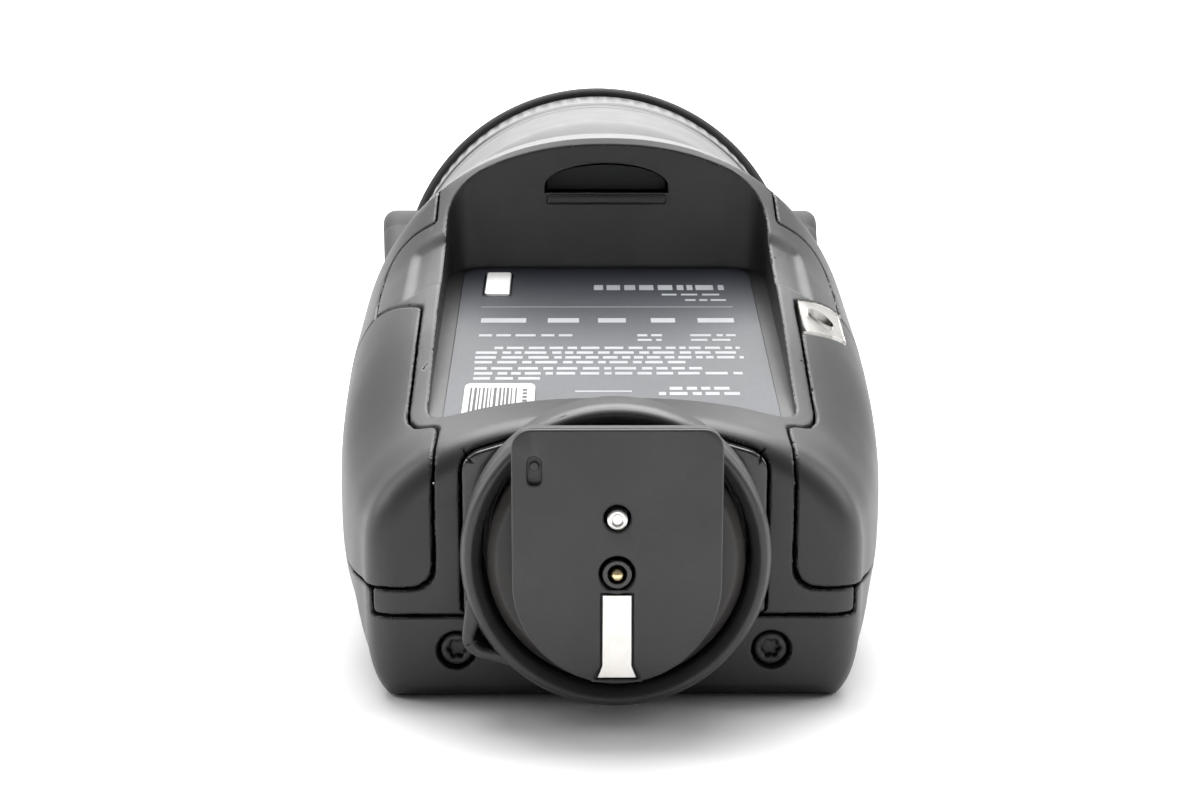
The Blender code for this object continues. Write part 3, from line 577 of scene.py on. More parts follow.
def bore_outline(margin, ripple):
    """The oval socket opening, its wall rippled for the liner's splines."""
    points = []
    for k in range(96):
        turn = math.tau * k / 96
        wide = (1.55 + margin + ripple * math.cos(16 * turn)) * math.cos(turn)
        high = (1.02 + margin + ripple * math.cos(16 * turn)) * math.sin(turn)
        points.append((SOCKET_BORE[0] + 0.93 * wide - 0.37 * high, SOCKET_BORE[1] + 0.37 * wide + 0.93 * high))
    return points


def edge_distance(outline, x, a):
    """How far inside a closed outline a point lies, or 0 outside it."""
    best, inside = 1e9, False
    for (x0, a0), (x1, a1) in zip(outline, [*outline[1:], outline[0]]):
        if (a0 > a) != (a1 > a) and x < x0 + (a - a0) * (x1 - x0) / (a1 - a0):
            inside = not inside
        along = Vector((x1 - x0, a1 - a0))
        t = max(0.0, min(1.0, ((x - x0) * along.x + (a - a0) * along.y) / max(along.length_squared, 1e-9)))
        best = min(best, math.hypot(x - x0 - along.x * t, a - a0 - along.y * t))
    return best if inside else 0.0


def sink_pockets(mid):
    """Sinks the two shallow pockets that flank the bay's far half."""
    pocket = rounded([(15, 47.2, 0.1), (23.9, 47.2, 1.0), (23.9, 59.0, 2.2), (19.3, 58.2, 0.3), (15, 58.2, 0.1)], 8)
    near = [face for face in mid.faces if face.material_index == SKIN and 44 < face.calc_center_median().y < 62
            and 17 < abs(face.calc_center_median().x) < 26 and face.normal.z > 0.2]
    edges = {edge for face in near for edge in face.edges if edge.calc_length() > 0.45}
    bmesh.ops.subdivide_edges(mid, edges=list(edges), cuts=2, use_grid_fill=True)
    faces = [face for face in mid.faces if face.material_index == SKIN and len(face.verts) > 3]
    bmesh.ops.triangulate(mid, faces=faces, quad_method="BEAUTY", ngon_method="BEAUTY")
    skin = {vertex for face in mid.faces if face.material_index == SKIN for vertex in face.verts if vertex.co.z > 5}
    for vertex in skin:
        x, a, n = vertex.co
        if not (44 < a < 62 and 17 < abs(x) < 26):
            continue
        reach = edge_distance(pocket, abs(x), a)
        if reach > 0:
            share = min(1.0, reach / 1.7)
            vertex.co.z -= 0.6 * share * share * (3 - 2 * share)
    return mid


def bay_outline(margin=0.0):
    corners = [
        (-BAY_NEAR_HALF, BAY_NEAR_A, 4.5), (BAY_NEAR_HALF, BAY_NEAR_A, 4.5),
        (BAY_FAR_HALF, BAY_FAR_A, 5.0), (-BAY_FAR_HALF, BAY_FAR_A, 5.0),
    ]
    return offset(rounded(corners, 10), margin) if margin else rounded(corners, 10)


def notch_outline(margin=0.0):
    half, low, rise = 7.7 + margin, 27.9 - margin, 3.7 + 2 * margin
    arch = [(half * math.cos(t), low + 0.8 + (rise - 0.8) * math.sin(t))
            for t in (math.pi * k / 30 for k in range(31))]
    return [(-half, low), (half, low), *arch]


def to_flash_frame(mesh):
    mesh.transform(FLASH.inverted() @ RESTING)
    return mesh


def rear_openings():
    resting = [
        upright(rounded_box(-19.8, 50, 19.8, 80, 3), -3, 6),
        turned(((0, -3), (11.8, -3), (11.8, 6), (0, 6)), (0, DIAL_Y), "z"),
        upright(rounded_box(-SWITCH_SLOT / 2, SWITCH_Y - 1.3, SWITCH_SLOT / 2, SWITCH_Y + 1.3, 1.0), -3, 6),
    ]
    for _, x, y in BUTTONS:
        resting.append(upright(rounded_box(x - 2.8, y - 4.3, x + 2.8, y + 4.3, 2.6), -3, 6))
    for tool in resting:
        to_flash_frame(tool)
    screw_hole = ((0, 8), (1.9, 8), (1.9, 18), (0, 18))
    screws = [turned(screw_hole, (x, SCREW_N), "a", 40) for x in (-SCREW_X, SCREW_X)]
    port = box((-45, PORT_A - 5, from_back(-13.6, PORT_A)), (-24, PORT_A + 5.3, from_back(-8.6, PORT_A)))
    return [*resting, *screws, port]


def build_body(finish):
    rear = keep(body_shell(), below_seam(-HALF_GAP))
    rear = soften(cut(rear, *rear_openings()))
    piece("housing_rear", rear, finish["shell"], "body", ["rear_housing"])

    socket_outline = rounded(SOCKET_OUTLINE)
    hollow_round_tub = cut(body_hollow(), on_floor(bay_outline(WALL), -WALL, 80, INSIDE))
    mid = cut(cut(body_solid(), hollow_round_tub), column(offset(neck_outline(), HALF_GAP)))
    mid = cut(
        mid,
        cover_space(1, HALF_GAP),
        cover_space(-1, HALF_GAP),
        column(offset(socket_outline, HALF_GAP), bottom=8),
        below_seam(HALF_GAP),
        on_floor(bay_outline(), 0.0, 90),
        along_a(offset(rounded(PANEL_OUTLINE), HALF_GAP), 5, 16.5),
        along_a(notch_outline(), 63, 72, INSIDE),
    )
    mid = sink_pockets(soften(mid))
    piece("housing_mid", mid, finish["shell"], "body", ["mid_frame"])

    for side, sign in (("right", 1), ("left", -1)):
        cover = keep(body_shell(), cover_space(sign, -HALF_GAP))
        if side == "right":
            cover = cut(cover, column(offset(socket_outline, HALF_GAP), bottom=8))
        name = "side_cover_" + side
        piece("grip_" + side, soften(cover), finish["soft"], "body", [name])

    neck = keep(body_shell(), column(offset(neck_outline(), -HALF_GAP)))
    hub_hole = turned(((0, 80), (11.4, 80), (11.4, 90), (0, 90)), (0, HEAD_N))
    neck = cut(neck, below_seam(HALF_GAP), hub_hole)
    piece("neck", soften(neck), finish["shell"], "body", ["neck_shell"])

    socket = keep(body_solid(), column(offset(socket_outline, -HALF_GAP), bottom=9.5))
    bore = column(bore_outline(0.0, 0.0), bottom=11, index=RIM)
    socket = soften(cut(socket, bore), {SEAM: 0.22, RIM: 0.3}, 0.09)
    piece("sync_insert", socket, finish["cast"], "body", ["sync_socket"])
    liner = keep(loft([section(a, 0.4, 96) for a in INNER_STATIONS]), column(bore_outline(-0.03, 0.0), bottom=11.03))
    liner = cut(liner, column(bore_outline(-0.3, 0.06), bottom=11.4))
    piece("socket_liner", liner, finish["rubber"], "body")

    back = 69.6
    catch = prism(
        notch_outline(-GAP), lambda x, n: (x, 67.4 - (n - 28.2) * 0.4, n), lambda x, n: (x, back, n)
    )
    lip = plate([rounded_box(-7.4, 26.5, 7.4, 27.7, 0.4)], 64.3, 65.4, 0.05, on_foot, bottom_bevel=0.35)
    catch = merged(catch, lip)
    piece("battery_catch", catch, finish["shell"], "body", ["latch_catch"])


def build_port(finish):
    low, high = from_back(-13.3, PORT_A), from_back(-8.9, PORT_A)
    skin = cut(body_solid(), loft([section(a, 1.3, 48) for a in INNER_STATIONS], INSIDE))
    flap = keep(skin, box((-45, PORT_A - 4.2, low), (-24, PORT_A + 4.7, high)))
    piece("port_flap", soften(flap), finish["rubber"], "port_cover", ["port_cover"])


# ------------------------------------------------------------------ bay
def build_bay(finish):
    near, far = BAY_NEAR_A + 0.8, BAY_FAR_A - 1.6
    spot = lambda x, a, w: (x, a, floor_n(a) + w)
    outline = rounded([(-17.3, near, 1.5), (17.3, near, 1.5), (17.6, far, 3.0), (-17.6, far, 3.0)], 8)
    pad = rounded_box(-14.7, 55.0, -11.7, 61.6, 0.5)
    hole = offset(pad, 0.25)
    label = plate([outline, hole], GAP, GAP + 0.25, 0.1, spot)
    piece("data_plate", label, finish["label"], "body", ["rating_label"])
    contact = plate([pad], GAP, GAP + 0.5, 0.15, spot)
    piece("bay_contact", contact, finish["bright"], "body", ["contact_pad"])
    paper = rounded_box(-15.4, near + 0.4, -8.0, 31.2, 0.8)
    sticker = plate([paper], GAP + 0.5, GAP + 0.62, 0.04, spot)
    piece("small_sticker", sticker, finish["paper"], "body", ["serial_sticker"])
    build_marks(spot, finish)


def build_marks(spot, finish):
    """Plain bars and rules where a data plate has its print. None of it is lettering or a symbol."""
    top = GAP + 0.262
    marks = bmesh.new()

    def flat(outline, height=top):
        marks.faces.new([marks.verts.new(spot(u, v, height)) for u, v in outline])

    def words(x0, x1, a, height, seed, share=0.86):
        """A row of short bars of uneven length."""
        draw = random.Random(seed)
        x = x0
        while x < x1:
            width = min(draw.uniform(0.8, 2.8), x1 - x)
            if width > 0.3:
                flat(((x, a), (x + width * share, a), (x + width * share, a + height), (x, a + height)))
            x += width + 0.25

    words(-1.6, 14.2, 56.6, 1.5, 3)
    words(6.5, 14.0, 55.0, 0.5, 5)
    words(9.2, 14.4, 53.4, 0.5, 7)
    flat(((-14.9, 51.6), (14.7, 51.6), (14.7, 51.72), (-14.9, 51.72)))
    # Plain blocks stand where the real plate has its approval marks.
    for x0, x1 in ((-14.7, -9.5), (-7.0, -3.4), (-1.2, 2.0), (4.9, 7.7), (10.3, 14.5)):
        flat(((x0, 47.3), (x1, 47.3), (x1, 48.5), (x0, 48.5)))
    words(-14.7, -3.8, 43.6, 0.55, 11)
    words(3.2, 6.2, 43.6, 0.55, 13)
    words(9.2, 14.5, 43.6, 0.55, 15)
    words(3.2, 6.0, 42.4, 0.5, 17)
    words(9.2, 14.2, 42.4, 0.5, 19)
    for row, (a, x0, x1) in enumerate((
        (40.3, -12.8, 14.6), (39.1, -14.8, 14.6), (37.9, -14.8, 14.8), (36.7, -14.8, 9.0),
        (35.2, -14.7, 10.2), (34.0, -14.7, 14.4), (32.8, -14.7, -7.0),
    )):
        words(x0, x1, a, 0.6, 21 + row)
    flat(((-3.8, 29.95), (2.2, 29.95), (2.2, 30.25), (-3.8, 30.25)))
    words(6.2, 12.8, 30.4, 0.7, 41)
    words(5.0, 13.8, 29.2, 0.7, 43)
    marks.normal_update()
    for face in marks.faces:
        if face.normal.z < 0:
            face.normal_flip()
    piece("plate_marks", marks, finish["marks"], "body")

    bars = bmesh.new()
    draw = random.Random(61)
    high, x = GAP + 0.632, -14.8
    while x < -10.0:
        width = draw.uniform(0.1, 0.34)
        outline = ((x, 23.6), (x + width, 23.6), (x + width, 30.2), (x, 30.2))
        bars.faces.new([bars.verts.new(spot(u, v, high)) for u, v in outline])
        x += width + draw.uniform(0.12, 0.3)
    for k in range(8):
        a = 23.8 + 0.8 * k
        outline = ((-9.3, a), (-8.8, a), (-8.8, a + 0.5), (-9.3, a + 0.5))
        bars.faces.new([bars.verts.new(spot(u, v, high)) for u, v in outline])
    bars.normal_update()
    for face in bars.faces:
        if face.normal.z < 0:
            face.normal_flip()
    piece("sticker_bars", bars, finish["ink"], "body")


# ------------------------------------------------------------------ shoe
def foot_outline():
    round_n = FOOT_BOTTOM + FOOT_HALF
    lower = [(FOOT_HALF * math.cos(t), round_n + FOOT_HALF * math.sin(t))
             for t in (math.pi + math.pi * k / 60 for k in range(61))]
    points = list(lower)
    for side, start in ((1, 0), (-1, math.pi / 2)):
        centre = (side * (FOOT_HALF - 1.8), FOOT_TOP - 1.8)
        for k in range(11):
            turn = start + math.pi / 2 * k / 10
            points.append((centre[0] + 1.8 * math.cos(turn), centre[1] + 1.8 * math.sin(turn)))
    return points


STRIP_TOP = CONTACT_N - 1.95
STRIP_OUTLINE = [(1.3, STRIP_TOP), (1.3, -9.9), (1.75, -11.0), (-1.75, -11.0), (-1.3, -9.9), (-1.3, STRIP_TOP)]


def build_shoe(finish):
    holes = [circle(0, CONTACT_N, 1.6, 40), circle(0, LOCK_PIN_N, 1.2, 36), rounded_box(-7.9, 6.75, -6.65, 9.25, 0.6)]
    face = plate([foot_outline(), *holes, offset(STRIP_OUTLINE, GAP / 2)], 0, 0.62, 0.22, on_foot, bottom_bevel=0.22)
    back = plate([foot_outline(), *holes[:2]], 0.6, FOOT_THICK, 0.15, on_foot, bottom_bevel=0.01)
    riser = plate(
        [rounded_box(-6.25, -8.5, 6.25, 8.8, 1.5), *[circle(0, n, r, 32) for n, r in ((CONTACT_N, 1.6), (LOCK_PIN_N, 1.2))]],
        FOOT_THICK - 0.1, 3.9, 0.1, on_foot,
    )
    pin = turned(softened_profile(((0, 0.35), (0.42, 0.35), (0.42, 1.2), (0, 1.2)), 0.12), (-7.27, 8.35), "a", 24)
    piece("shoe_foot", merged(face, back, riser, pin), finish["foot"], "body", ["foot_plate"])

    strip = plate([STRIP_OUTLINE], 0.0, 0.3, 0.02, on_foot, bottom_bevel=0.08)
    piece("ground_contact", strip, finish["nickel"], "body", ["ground_strip"])

    sleeve = turned(
        softened_profile(((0.85, -0.15), (1.3, -0.15), (1.3, 3.6), (0.85, 3.6)), 0.12), (0, CONTACT_N), "a", 48
    )
    piece("contact_sleeve", sleeve, finish["gloss"], "body", ["contact_insulator"])
    contact = turned(
        ((0, -0.7), (0.16, -0.68), (0.3, -0.62), (0.43, -0.5), (0.51, -0.36), (0.55, -0.2), (0.55, 3.9), (0, 3.9)),
        (0, CONTACT_N), "a", 32,
    )
    piece("centre_contact", contact, finish["gold"], "contact_pin", ["contact_pin"])
    lock = turned(
        ((0, -0.34), (0.42, -0.34), (0.5, -0.44), (0.6, -0.5), (0.76, -0.5), (0.88, -0.4), (0.92, -0.25),
         (0.92, 3.9), (0, 3.9)),
        (0, LOCK_PIN_N), "a", 40,
    )
    piece("lock_pin", lock, finish["nickel"], "locking_pin", ["locking_pin"])

    disc_profile = (
        (0, 4.2), (8.6, 4.2), (8.6, 4.42), (9.3, 4.42), (9.3, 4.2), (10.9, 4.2), (DISC_RADIUS, 5.0),
        (DISC_RADIUS, 9.8), (13.4, 9.8), (13.4, 10.9), (STUD_RADIUS, 10.9), (STUD_RADIUS, 15.5), (0, 15.5),
    )
    disc = turned(softened_profile(disc_profile, 0.25), (0, CONTACT_N), "a", 128)
    wells = [turned(((0, 3.5), (reach, 3.5), (reach, 7.6), (0, 7.6)), (0, n), "a", 36)
             for reach, n in ((1.5, CONTACT_N), (1.15, LOCK_PIN_N))]
    disc = cut(disc, *wells)
    piece("shoe_disc", disc, finish["disc"], "body", ["shoe_base"])

    outline = offset(rounded(PANEL_OUTLINE), -HALF_GAP)
    panel = plate([outline, circle(0, CONTACT_N, STUD_RADIUS + GAP, 64)], 11.2, 14.0, 0.2, on_foot, bottom_bevel=0.3)
    piece("end_panel", panel, finish["gloss"], "body", ["base_panel"])

    ring_profile = (
        (RING_INNER, RING_BACK), (RING_INNER, 5.0), (12.8, 4.3), (13.5, RING_FRONT), (14.0, 4.3),
        (RING_OUTER, 5.2), (RING_OUTER, RING_BACK),
    )
    ring = turned(softened_profile(ring_profile, 0.5), (0, CONTACT_N), "a", 160)
    edge, hole = (
        [(radius * math.cos(TAB_ANGLE + swing), CONTACT_N + radius * math.sin(TAB_ANGLE + swing), round_by)
         for radius, swing in line]
        for line, round_by in ((TAB_EDGE, 0.5), (TAB_HOLE, 0.35))
    )
    lever = plate([rounded(edge), rounded(hole)], 4.6, 9.2, 0.3, on_foot, bottom_bevel=0.45)
    ring = merged(ring, lever)
    piece("locking_ring", ring, finish["satin"], "lock_ring", ["lock_ring"])

    for side, x in (("left", -SCREW_X), ("right", SCREW_X)):
        star = []
        for k in range(48):
            turn = math.tau * k / 48
            reach = 0.78 + 0.14 * math.cos(6 * turn)
            star.append((x + reach * math.cos(turn), SCREW_N + reach * math.sin(turn)))
        head = plate([circle(x, SCREW_N, 1.6), star], 12.3, 13.4, 0.05, on_foot, bottom_bevel=0.3)
        shank = turned(((0, 13.1), (1.55, 13.1), (1.55, 13.9), (0.9, 14.1), (0.9, 16.8), (0, 16.8)), (x, SCREW_N), "a", 32)
        name = "housing_screw_" + side
        piece("torx_screw_" + side, merged(head, shank), finish["screw"], "body", [name])


# ------------------------------------------------------------------ controls on the back
def build_controls(finish):
    window = plate([rounded_box(-19.5, 50.3, 19.5, 79.7, 2.8)], 0.5, 1.5, 0.05, on_back, bottom_bevel=0.3)
    piece("screen_window", window, finish["glass"], "body", ["display_window"], RESTING)

    def knurl(radius, height, turn):
        return 0.13 * math.cos(48 * turn) if radius > 10.5 and height > 0.9 else 0.0

    profile = softened_profile(
        ((5.8, 0.8), (6.3, 0.4), (7.6, 0.55), (9.8, 0.55), (10.6, 0.4), (11.2, 1.1), (11.2, 3.6), (5.8, 3.6)), 0.3
    )
    dial = turned(profile, (0, DIAL_Y), "z", 288, wave=knurl)
    piece("dial_wheel", dial, finish["gloss"], "control_dial", ["control_dial"], RESTING)
    push_profile = ((0, 0.75), (2.4, 0.68), (4.4, 0.6), (5.4, 1.1), (5.4, 3.7), (0, 3.7))
    push = turned(softened_profile(push_profile, 0.35), (0, DIAL_Y), "z", 72)
    piece("dial_button", push, finish["rubber"], "set_button", ["set_button"], RESTING)
    for name, x, y in BUTTONS:
        outline = rounded_box(x - 2.5, y - 4.0, x + 2.5, y + 4.0, 2.4, 10)
        cap = plate([outline], 0.5, 3.7, 0.05, on_back, bottom_bevel=0.8)
        piece(name + "_cap", cap, finish["rubber"], name, [name], RESTING)
    knob = plate([rounded_box(-3.4, SWITCH_Y - 1.0, 0.6, SWITCH_Y + 1.0, 0.7)], 0.8, 3.4, 0.05, on_back, bottom_bevel=0.25)
    ribs = []
    for k in range(5):
        x = -2.7 + 0.65 * k
        ribs.append(plate([rounded_box(x - 0.16, SWITCH_Y - 0.8, x + 0.16, SWITCH_Y + 0.8, 0.12, 3)],
                          0.42, 0.9, 0.02, on_back, bottom_bevel=0.12))
    piece("mode_knob", merged(knob, *ribs), finish["gloss"], "mode_switch", ["mode_switch"], RESTING)


# ------------------------------------------------------------------ turret, yoke and head
def build_turret(finish):
    profile = (
        (6, 80.5), (11.0, 80.5), (11.0, 86.5), (TURRET_RADIUS - 0.6, 86.5), (TURRET_RADIUS, 87.1),
        (TURRET_RADIUS, 90.4), (TURRET_RADIUS - 0.6, 91.0), (14, 91.0), (12.5, 93.2), (6, 93.2),
    )
    hub = turned(softened_profile(profile, 0.35), (0, HEAD_N), "a", 160)
    piece("swivel_plate", hub, finish["shell"], "turret", ["turret_base"])
    for side, sign in (("left", -1), ("right", 1)):
        arm = yoke_arm(sign)
        piece("yoke_" + side, arm, finish["rubber"], "turret", ["yoke_arm_" + side])
        profile = softened_profile(
            ((0, 34.95), (6.4, 34.95), (6.6, 34.75), (7.0, 34.75), (7.2, 35.1), (8.6, 35.1), (9.0, 34.7), (9.0, 33.7), (0, 33.7)), 0.12
        )
        cap = turned([(r, sign * h) for r, h in profile], (PIVOT_A, HEAD_N), "x", 72)
        piece("pivot_disc_" + side, cap, finish["satin"], "turret", ["pivot_cap_" + side])


def arm_half_height(a):
    end = math.sqrt(max(0.0, ARM_END_RADIUS**2 - (a - PIVOT_A) ** 2))
    foot = 9.5 + (a - 91) * 0.26
    return end if a > 119 else min(foot, ARM_END_RADIUS)


def arm_outer_x(a):
    return min(31.2 + (a - 95) * 0.126, 36.0)


def yoke_arm(sign):
    """A side arm whose outer edge is rolled over, with a seat and a bore for the pivot."""
    stations = [91.3, 91.6, 92.4, 94] + [96 + 1.5 * k for k in range(15)]
    stations += [118, 119.2] + [121 + 1.2 * k for k in range(18)] + [142.8, 143.8, 144.5, 145.0, 145.3, 145.45]
    loops = []
    for a in sorted(stations):
        half, inner, outer = max(0.35, arm_half_height(a)), ARM_INNER_X, arm_outer_x(a)
        end_fade = min(1.0, max(0.0, (145.6 - a) / 2.2)) ** 0.5
        outer = inner + (outer - inner) * (0.35 + 0.65 * end_fade)
        roll = min(2.2, half * 0.6, (outer - inner) * 0.7)
        line = [(inner, -half)]
        line += [(outer - roll * (1 - math.sin(t)), -half + roll * (1 - math.cos(t)))
                 for t in (math.pi / 2 * k / 8 for k in range(9))]
        line += [(outer - roll * (1 - math.cos(t)), half - roll * (1 - math.sin(t)))
                 for t in (math.pi / 2 * k / 8 for k in range(9))]
        line.append((inner, half))
        loops.append([(sign * x, a, HEAD_N + n) for x, n in line])
    arm = loft(loops, SKIN)
    low, high = sorted((sign * 16.0, sign * 30.5))
    arm = join(arm, box((low, 91.3, HEAD_N - 9), (high, 95.0, HEAD_N + 9), SKIN))
    bore = turned(((0, -45), (5.3, -45), (5.3, 45), (0, 45)), (PIVOT_A, HEAD_N), "x", 64)
    low, high = sorted((sign * 33.4, sign * 45))
    seat = turned(((0, low), (9.3, low), (9.3, high), (0, high)), (PIVOT_A, HEAD_N), "x", 96)
    return soften(cut(arm, bore, seat), {SEAM: 0.3})


def cone_radius(a):
    return BALL_RADIUS + (a - PIVOT_A) * HEAD_TAPER


def soft_least(one, other, radius):
    """The smaller of two lengths, blended where they meet."""
    mix = max(0.0, min(1.0, 0.5 + (other - one) / (2 * radius)))
    return other * (1 - mix) + one * mix - radius * mix * (1 - mix)


def head_loop(a, radius, flat, count=192):
    """A round section whose sides are cut flat where it passes the yoke arms."""
    points = []
    for k in range(count):
        turn = math.tau * (k + 0.5) / count
        reach = soft_least(radius, flat / max(1e-3, abs(math.cos(turn))), 0.7)
        points.append((reach * math.cos(turn), a, HEAD_N + reach * math.sin(turn)))
    return points


def build_head(finish):
    split = 150.0
    loops = []
    first = math.asin(4.6 / BALL_RADIUS)
    turns = [first + (math.pi / 2 - first) * k / 40 for k in range(41)]
    loops.append(head_loop(PIVOT_A - BALL_RADIUS * math.cos(first) + 3.0, 4.5, 60))
    for t in turns:
        loops.append(head_loop(PIVOT_A - BALL_RADIUS * math.cos(t), BALL_RADIUS * math.sin(t), FLAT_X))
    for k in range(1, 18):
        a = PIVOT_A + (FLAT_END_A - 0.5 - PIVOT_A) * k / 17
        loops.append(head_loop(a, cone_radius(a), FLAT_X))
    for k in range(1, 7):
        t = k / 6
        a = FLAT_END_A - 0.5 + 0.6 * t
        open_x = FLAT_X + (cone_radius(a) - FLAT_X + 0.8) * (1 - math.sqrt(1 - t * t))
        loops.append(head_loop(a, cone_radius(a), open_x))
    for a, inset in ((147.2, 0), (148.6, 0), (149.5, 0), (149.75, 0.04), (149.9, 0.12), (split, 0.3)):
        loops.append(head_loop(a, cone_radius(a) - inset, 60))
    loops.append(head_loop(split, 29.5, 60))
    loops.append(head_loop(split - 2.0, 29.5, 60))
    for a, radius in ((144, 28.5), (136, 27.8), (124, 27), (112, 23), (105, 15)):
        loops.append(head_loop(a, radius, FLAT_X - 2.2))
    shell = loft(loops, SEAM)
    piece("head_ball", shell, finish["shell"], "head", ["head_rear_shell"])

    start = split + GAP
    profile = (
        (30.0, start), (cone_radius(start), start), (cone_radius(154), 154.0), (32.6, 154.0), (32.6, 172.2), (30.0, 172.2),
    )
    barrel = turned(softened_profile(profile, 0.3), (0, HEAD_N), "a", 160)
    piece("head_band", barrel, finish["shell"], "head", ["head_barrel"])

    rim_profile = (
        (33.2, 172.5), (36.7, 172.5), (RIM_RADIUS, 173.3), (RIM_RADIUS, 176.8), (36.9, 177.7),
        (36.0, 178.0), (34.4, 178.0), (33.2, 177.0),
    )
    rim = turned(softened_profile(rim_profile, 0.5), (0, HEAD_N), "a", 192)
    piece("head_rim", rim, finish["rubber"], "head", ["front_rim"])

    steps = [(0, 176.0)]
    for k in range(1, 15):
        radius = 1.0 + 31.0 * (k / 14) ** 0.8
        steps += [(radius - 0.12, 176.15), (radius + 0.12, 175.75)]
    steps += [(32.9, 175.6), (32.9, 173.2), (0, 173.2)]
    lens = turned(steps, (0, HEAD_N), "a", 128)
    piece("head_lens", lens, finish["lens"], "head", ["front_lens"])

    led_board = turned(((26.0, 168.8), (29.5, 168.8), (29.5, 170.2), (26.0, 170.2)), (0, HEAD_N), "a", 64)
    for k in range(12):
        turn = math.tau * k / 12
        x, n = 27.75 * math.cos(turn), HEAD_N + 27.75 * math.sin(turn)
        led_board = merged(led_board, plate([rounded_box(x - 1, n - 1, x + 1, n + 1, 0.3, 3)], 170.15, 170.9, 0.1, on_foot))
    piece("led_ring", led_board, finish["board"], "head", ["modelling_light_board"])

    def ribs(radius, height, turn):
        if radius < 34.6 or not 156.2 < height < 170.6:
            return 0.0
        return 0.1 * max(-1.0, min(1.0, 2.2 * math.cos(90 * turn))) - 0.08

    outer = [(34.35, 154.3), (34.75, 154.75), (35.0, 155.6), (35.03, 156.1)]
    outer += [(35.03 + 0.87 * k / 16, 156.3 + 14.2 * k / 16) for k in range(17)]
    outer += [(35.9, 170.7), (35.88, 171.4), (35.6, 171.9), (35.2, 172.2)]
    grip = turned([(32.9, 154.3), *outer, (32.9, 172.2)], (0, HEAD_N), "a", 720, wave=ribs)
    piece("zoom_grip", grip, finish["satin"], "zoom_ring", ["zoom_ring"])


# ------------------------------------------------------------------ finishes
class Finish:
    """A Principled material whose colour, roughness and relief come from its nodes."""

    def __init__(self, name, metallic=0.0, **sockets):
        self.material = bpy.data.materials.new(name)
        self.material.use_nodes = True
        self.tree = self.material.node_tree
        self.shader = self.tree.nodes["Principled BSDF"]
        self.shader.inputs["Metallic"].default_value = metallic
        for socket, value in sockets.items():
            self.shader.inputs[socket.replace("_", " ")].default_value = value
        self.place = self.node("ShaderNodeTexCoord").outputs["Object"]

    def node(self, kind, **settings):
        made = self.tree.nodes.new(kind)
        for key, value in settings.items():
            setattr(made, key, value)
        return made

    def noise(self, cell_mm, detail=2.0, stretch=None, roughness=0.5):
        made = self.node("ShaderNodeTexNoise")
        made.inputs["Scale"].default_value = 1000.0 / cell_mm
        made.inputs["Detail"].default_value = detail
        made.inputs["Roughness"].default_value = roughness
        source = self.place
        if stretch:
            mapping = self.node("ShaderNodeMapping")
            mapping.inputs["Scale"].default_value = stretch
            self.tree.links.new(source, mapping.inputs["Vector"])
            source = mapping.outputs["Vector"]
        self.tree.links.new(source, made.inputs["Vector"])
        return made.outputs["Fac"]

    def cells(self, cell_mm, feature="F1"):
        made = self.node("ShaderNodeTexVoronoi", feature=feature)
        made.inputs["Scale"].default_value = 1000.0 / cell_mm
        self.tree.links.new(self.place, made.inputs["Vector"])
        return made.outputs["Distance"]

    def span(self, value, low, high, start=0.3, end=0.7):
        made = self.node("ShaderNodeMapRange")
        made.inputs["From Min"].default_value = start
        made.inputs["From Max"].default_value = end
        made.inputs["To Min"].default_value = low
        made.inputs["To Max"].default_value = high
        self.tree.links.new(value, made.inputs["Value"])
        return made.outputs["Result"]

    def colour(self, value, dark, light, start=0.3, end=0.7):
        ramp = self.node("ShaderNodeValToRGB")
        ramp.color_ramp.elements[0].position = start
        ramp.color_ramp.elements[0].color = (*dark, 1)
        ramp.color_ramp.elements[1].position = end
        ramp.color_ramp.elements[1].color = (*light, 1)
        self.tree.links.new(value, ramp.inputs["Fac"])
        self.tree.links.new(ramp.outputs["Color"], self.shader.inputs["Base Color"])
        return self

    def rough(self, value, low, high):
        self.tree.links.new(self.span(value, low, high), self.shader.inputs["Roughness"])
        return self

    def add(self, one, other, share):
        made = self.node("ShaderNodeMath", operation="MULTIPLY_ADD")
        self.tree.links.new(other, made.inputs[0])
        made.inputs[1].default_value = share
        self.tree.links.new(one, made.inputs[2])
        return made.outputs["Value"]

    def relief(self, value, depth_um, strength=1.0):
        bump = self.node("ShaderNodeBump")
        bump.inputs["Strength"].default_value = strength
        bump.inputs["Distance"].default_value = depth_um * 1e-6
        self.tree.links.new(value, bump.inputs["Height"])
        self.tree.links.new(bump.outputs["Normal"], self.shader.inputs["Normal"])
        return self


def moulded(name, dark, light, rough, grain_mm, depth_um, **sockets):
    """Moulded plastic: a spark-eroded grain, and slow drifts of colour and gloss."""
    made = Finish(name, **sockets)
    grain = made.add(made.noise(grain_mm, 3.0, roughness=0.6), made.noise(grain_mm * 0.4, 1.0), 0.5)
    made.colour(made.add(made.noise(9.0, 3.0), made.noise(0.5, 2.0), 0.25), dark, light, 0.42, 0.82)
    made.rough(made.add(made.noise(4.0, 4.0), grain, 0.2), rough - 0.02, rough + 0.03)
    return made.relief(grain, depth_um).material


def bare_metal(name, dark, light, rough, stretch=(1, 1, 1), scratch_um=2.0):
    made = Finish(name, metallic=1.0)
    streak = made.noise(0.25, 3.0, stretch)
    made.colour(made.add(made.noise(2.0, 3.0), streak, 0.3), dark, light)
    made.rough(streak, rough - 0.05, rough + 0.08)
    return made.relief(streak, scratch_um).material


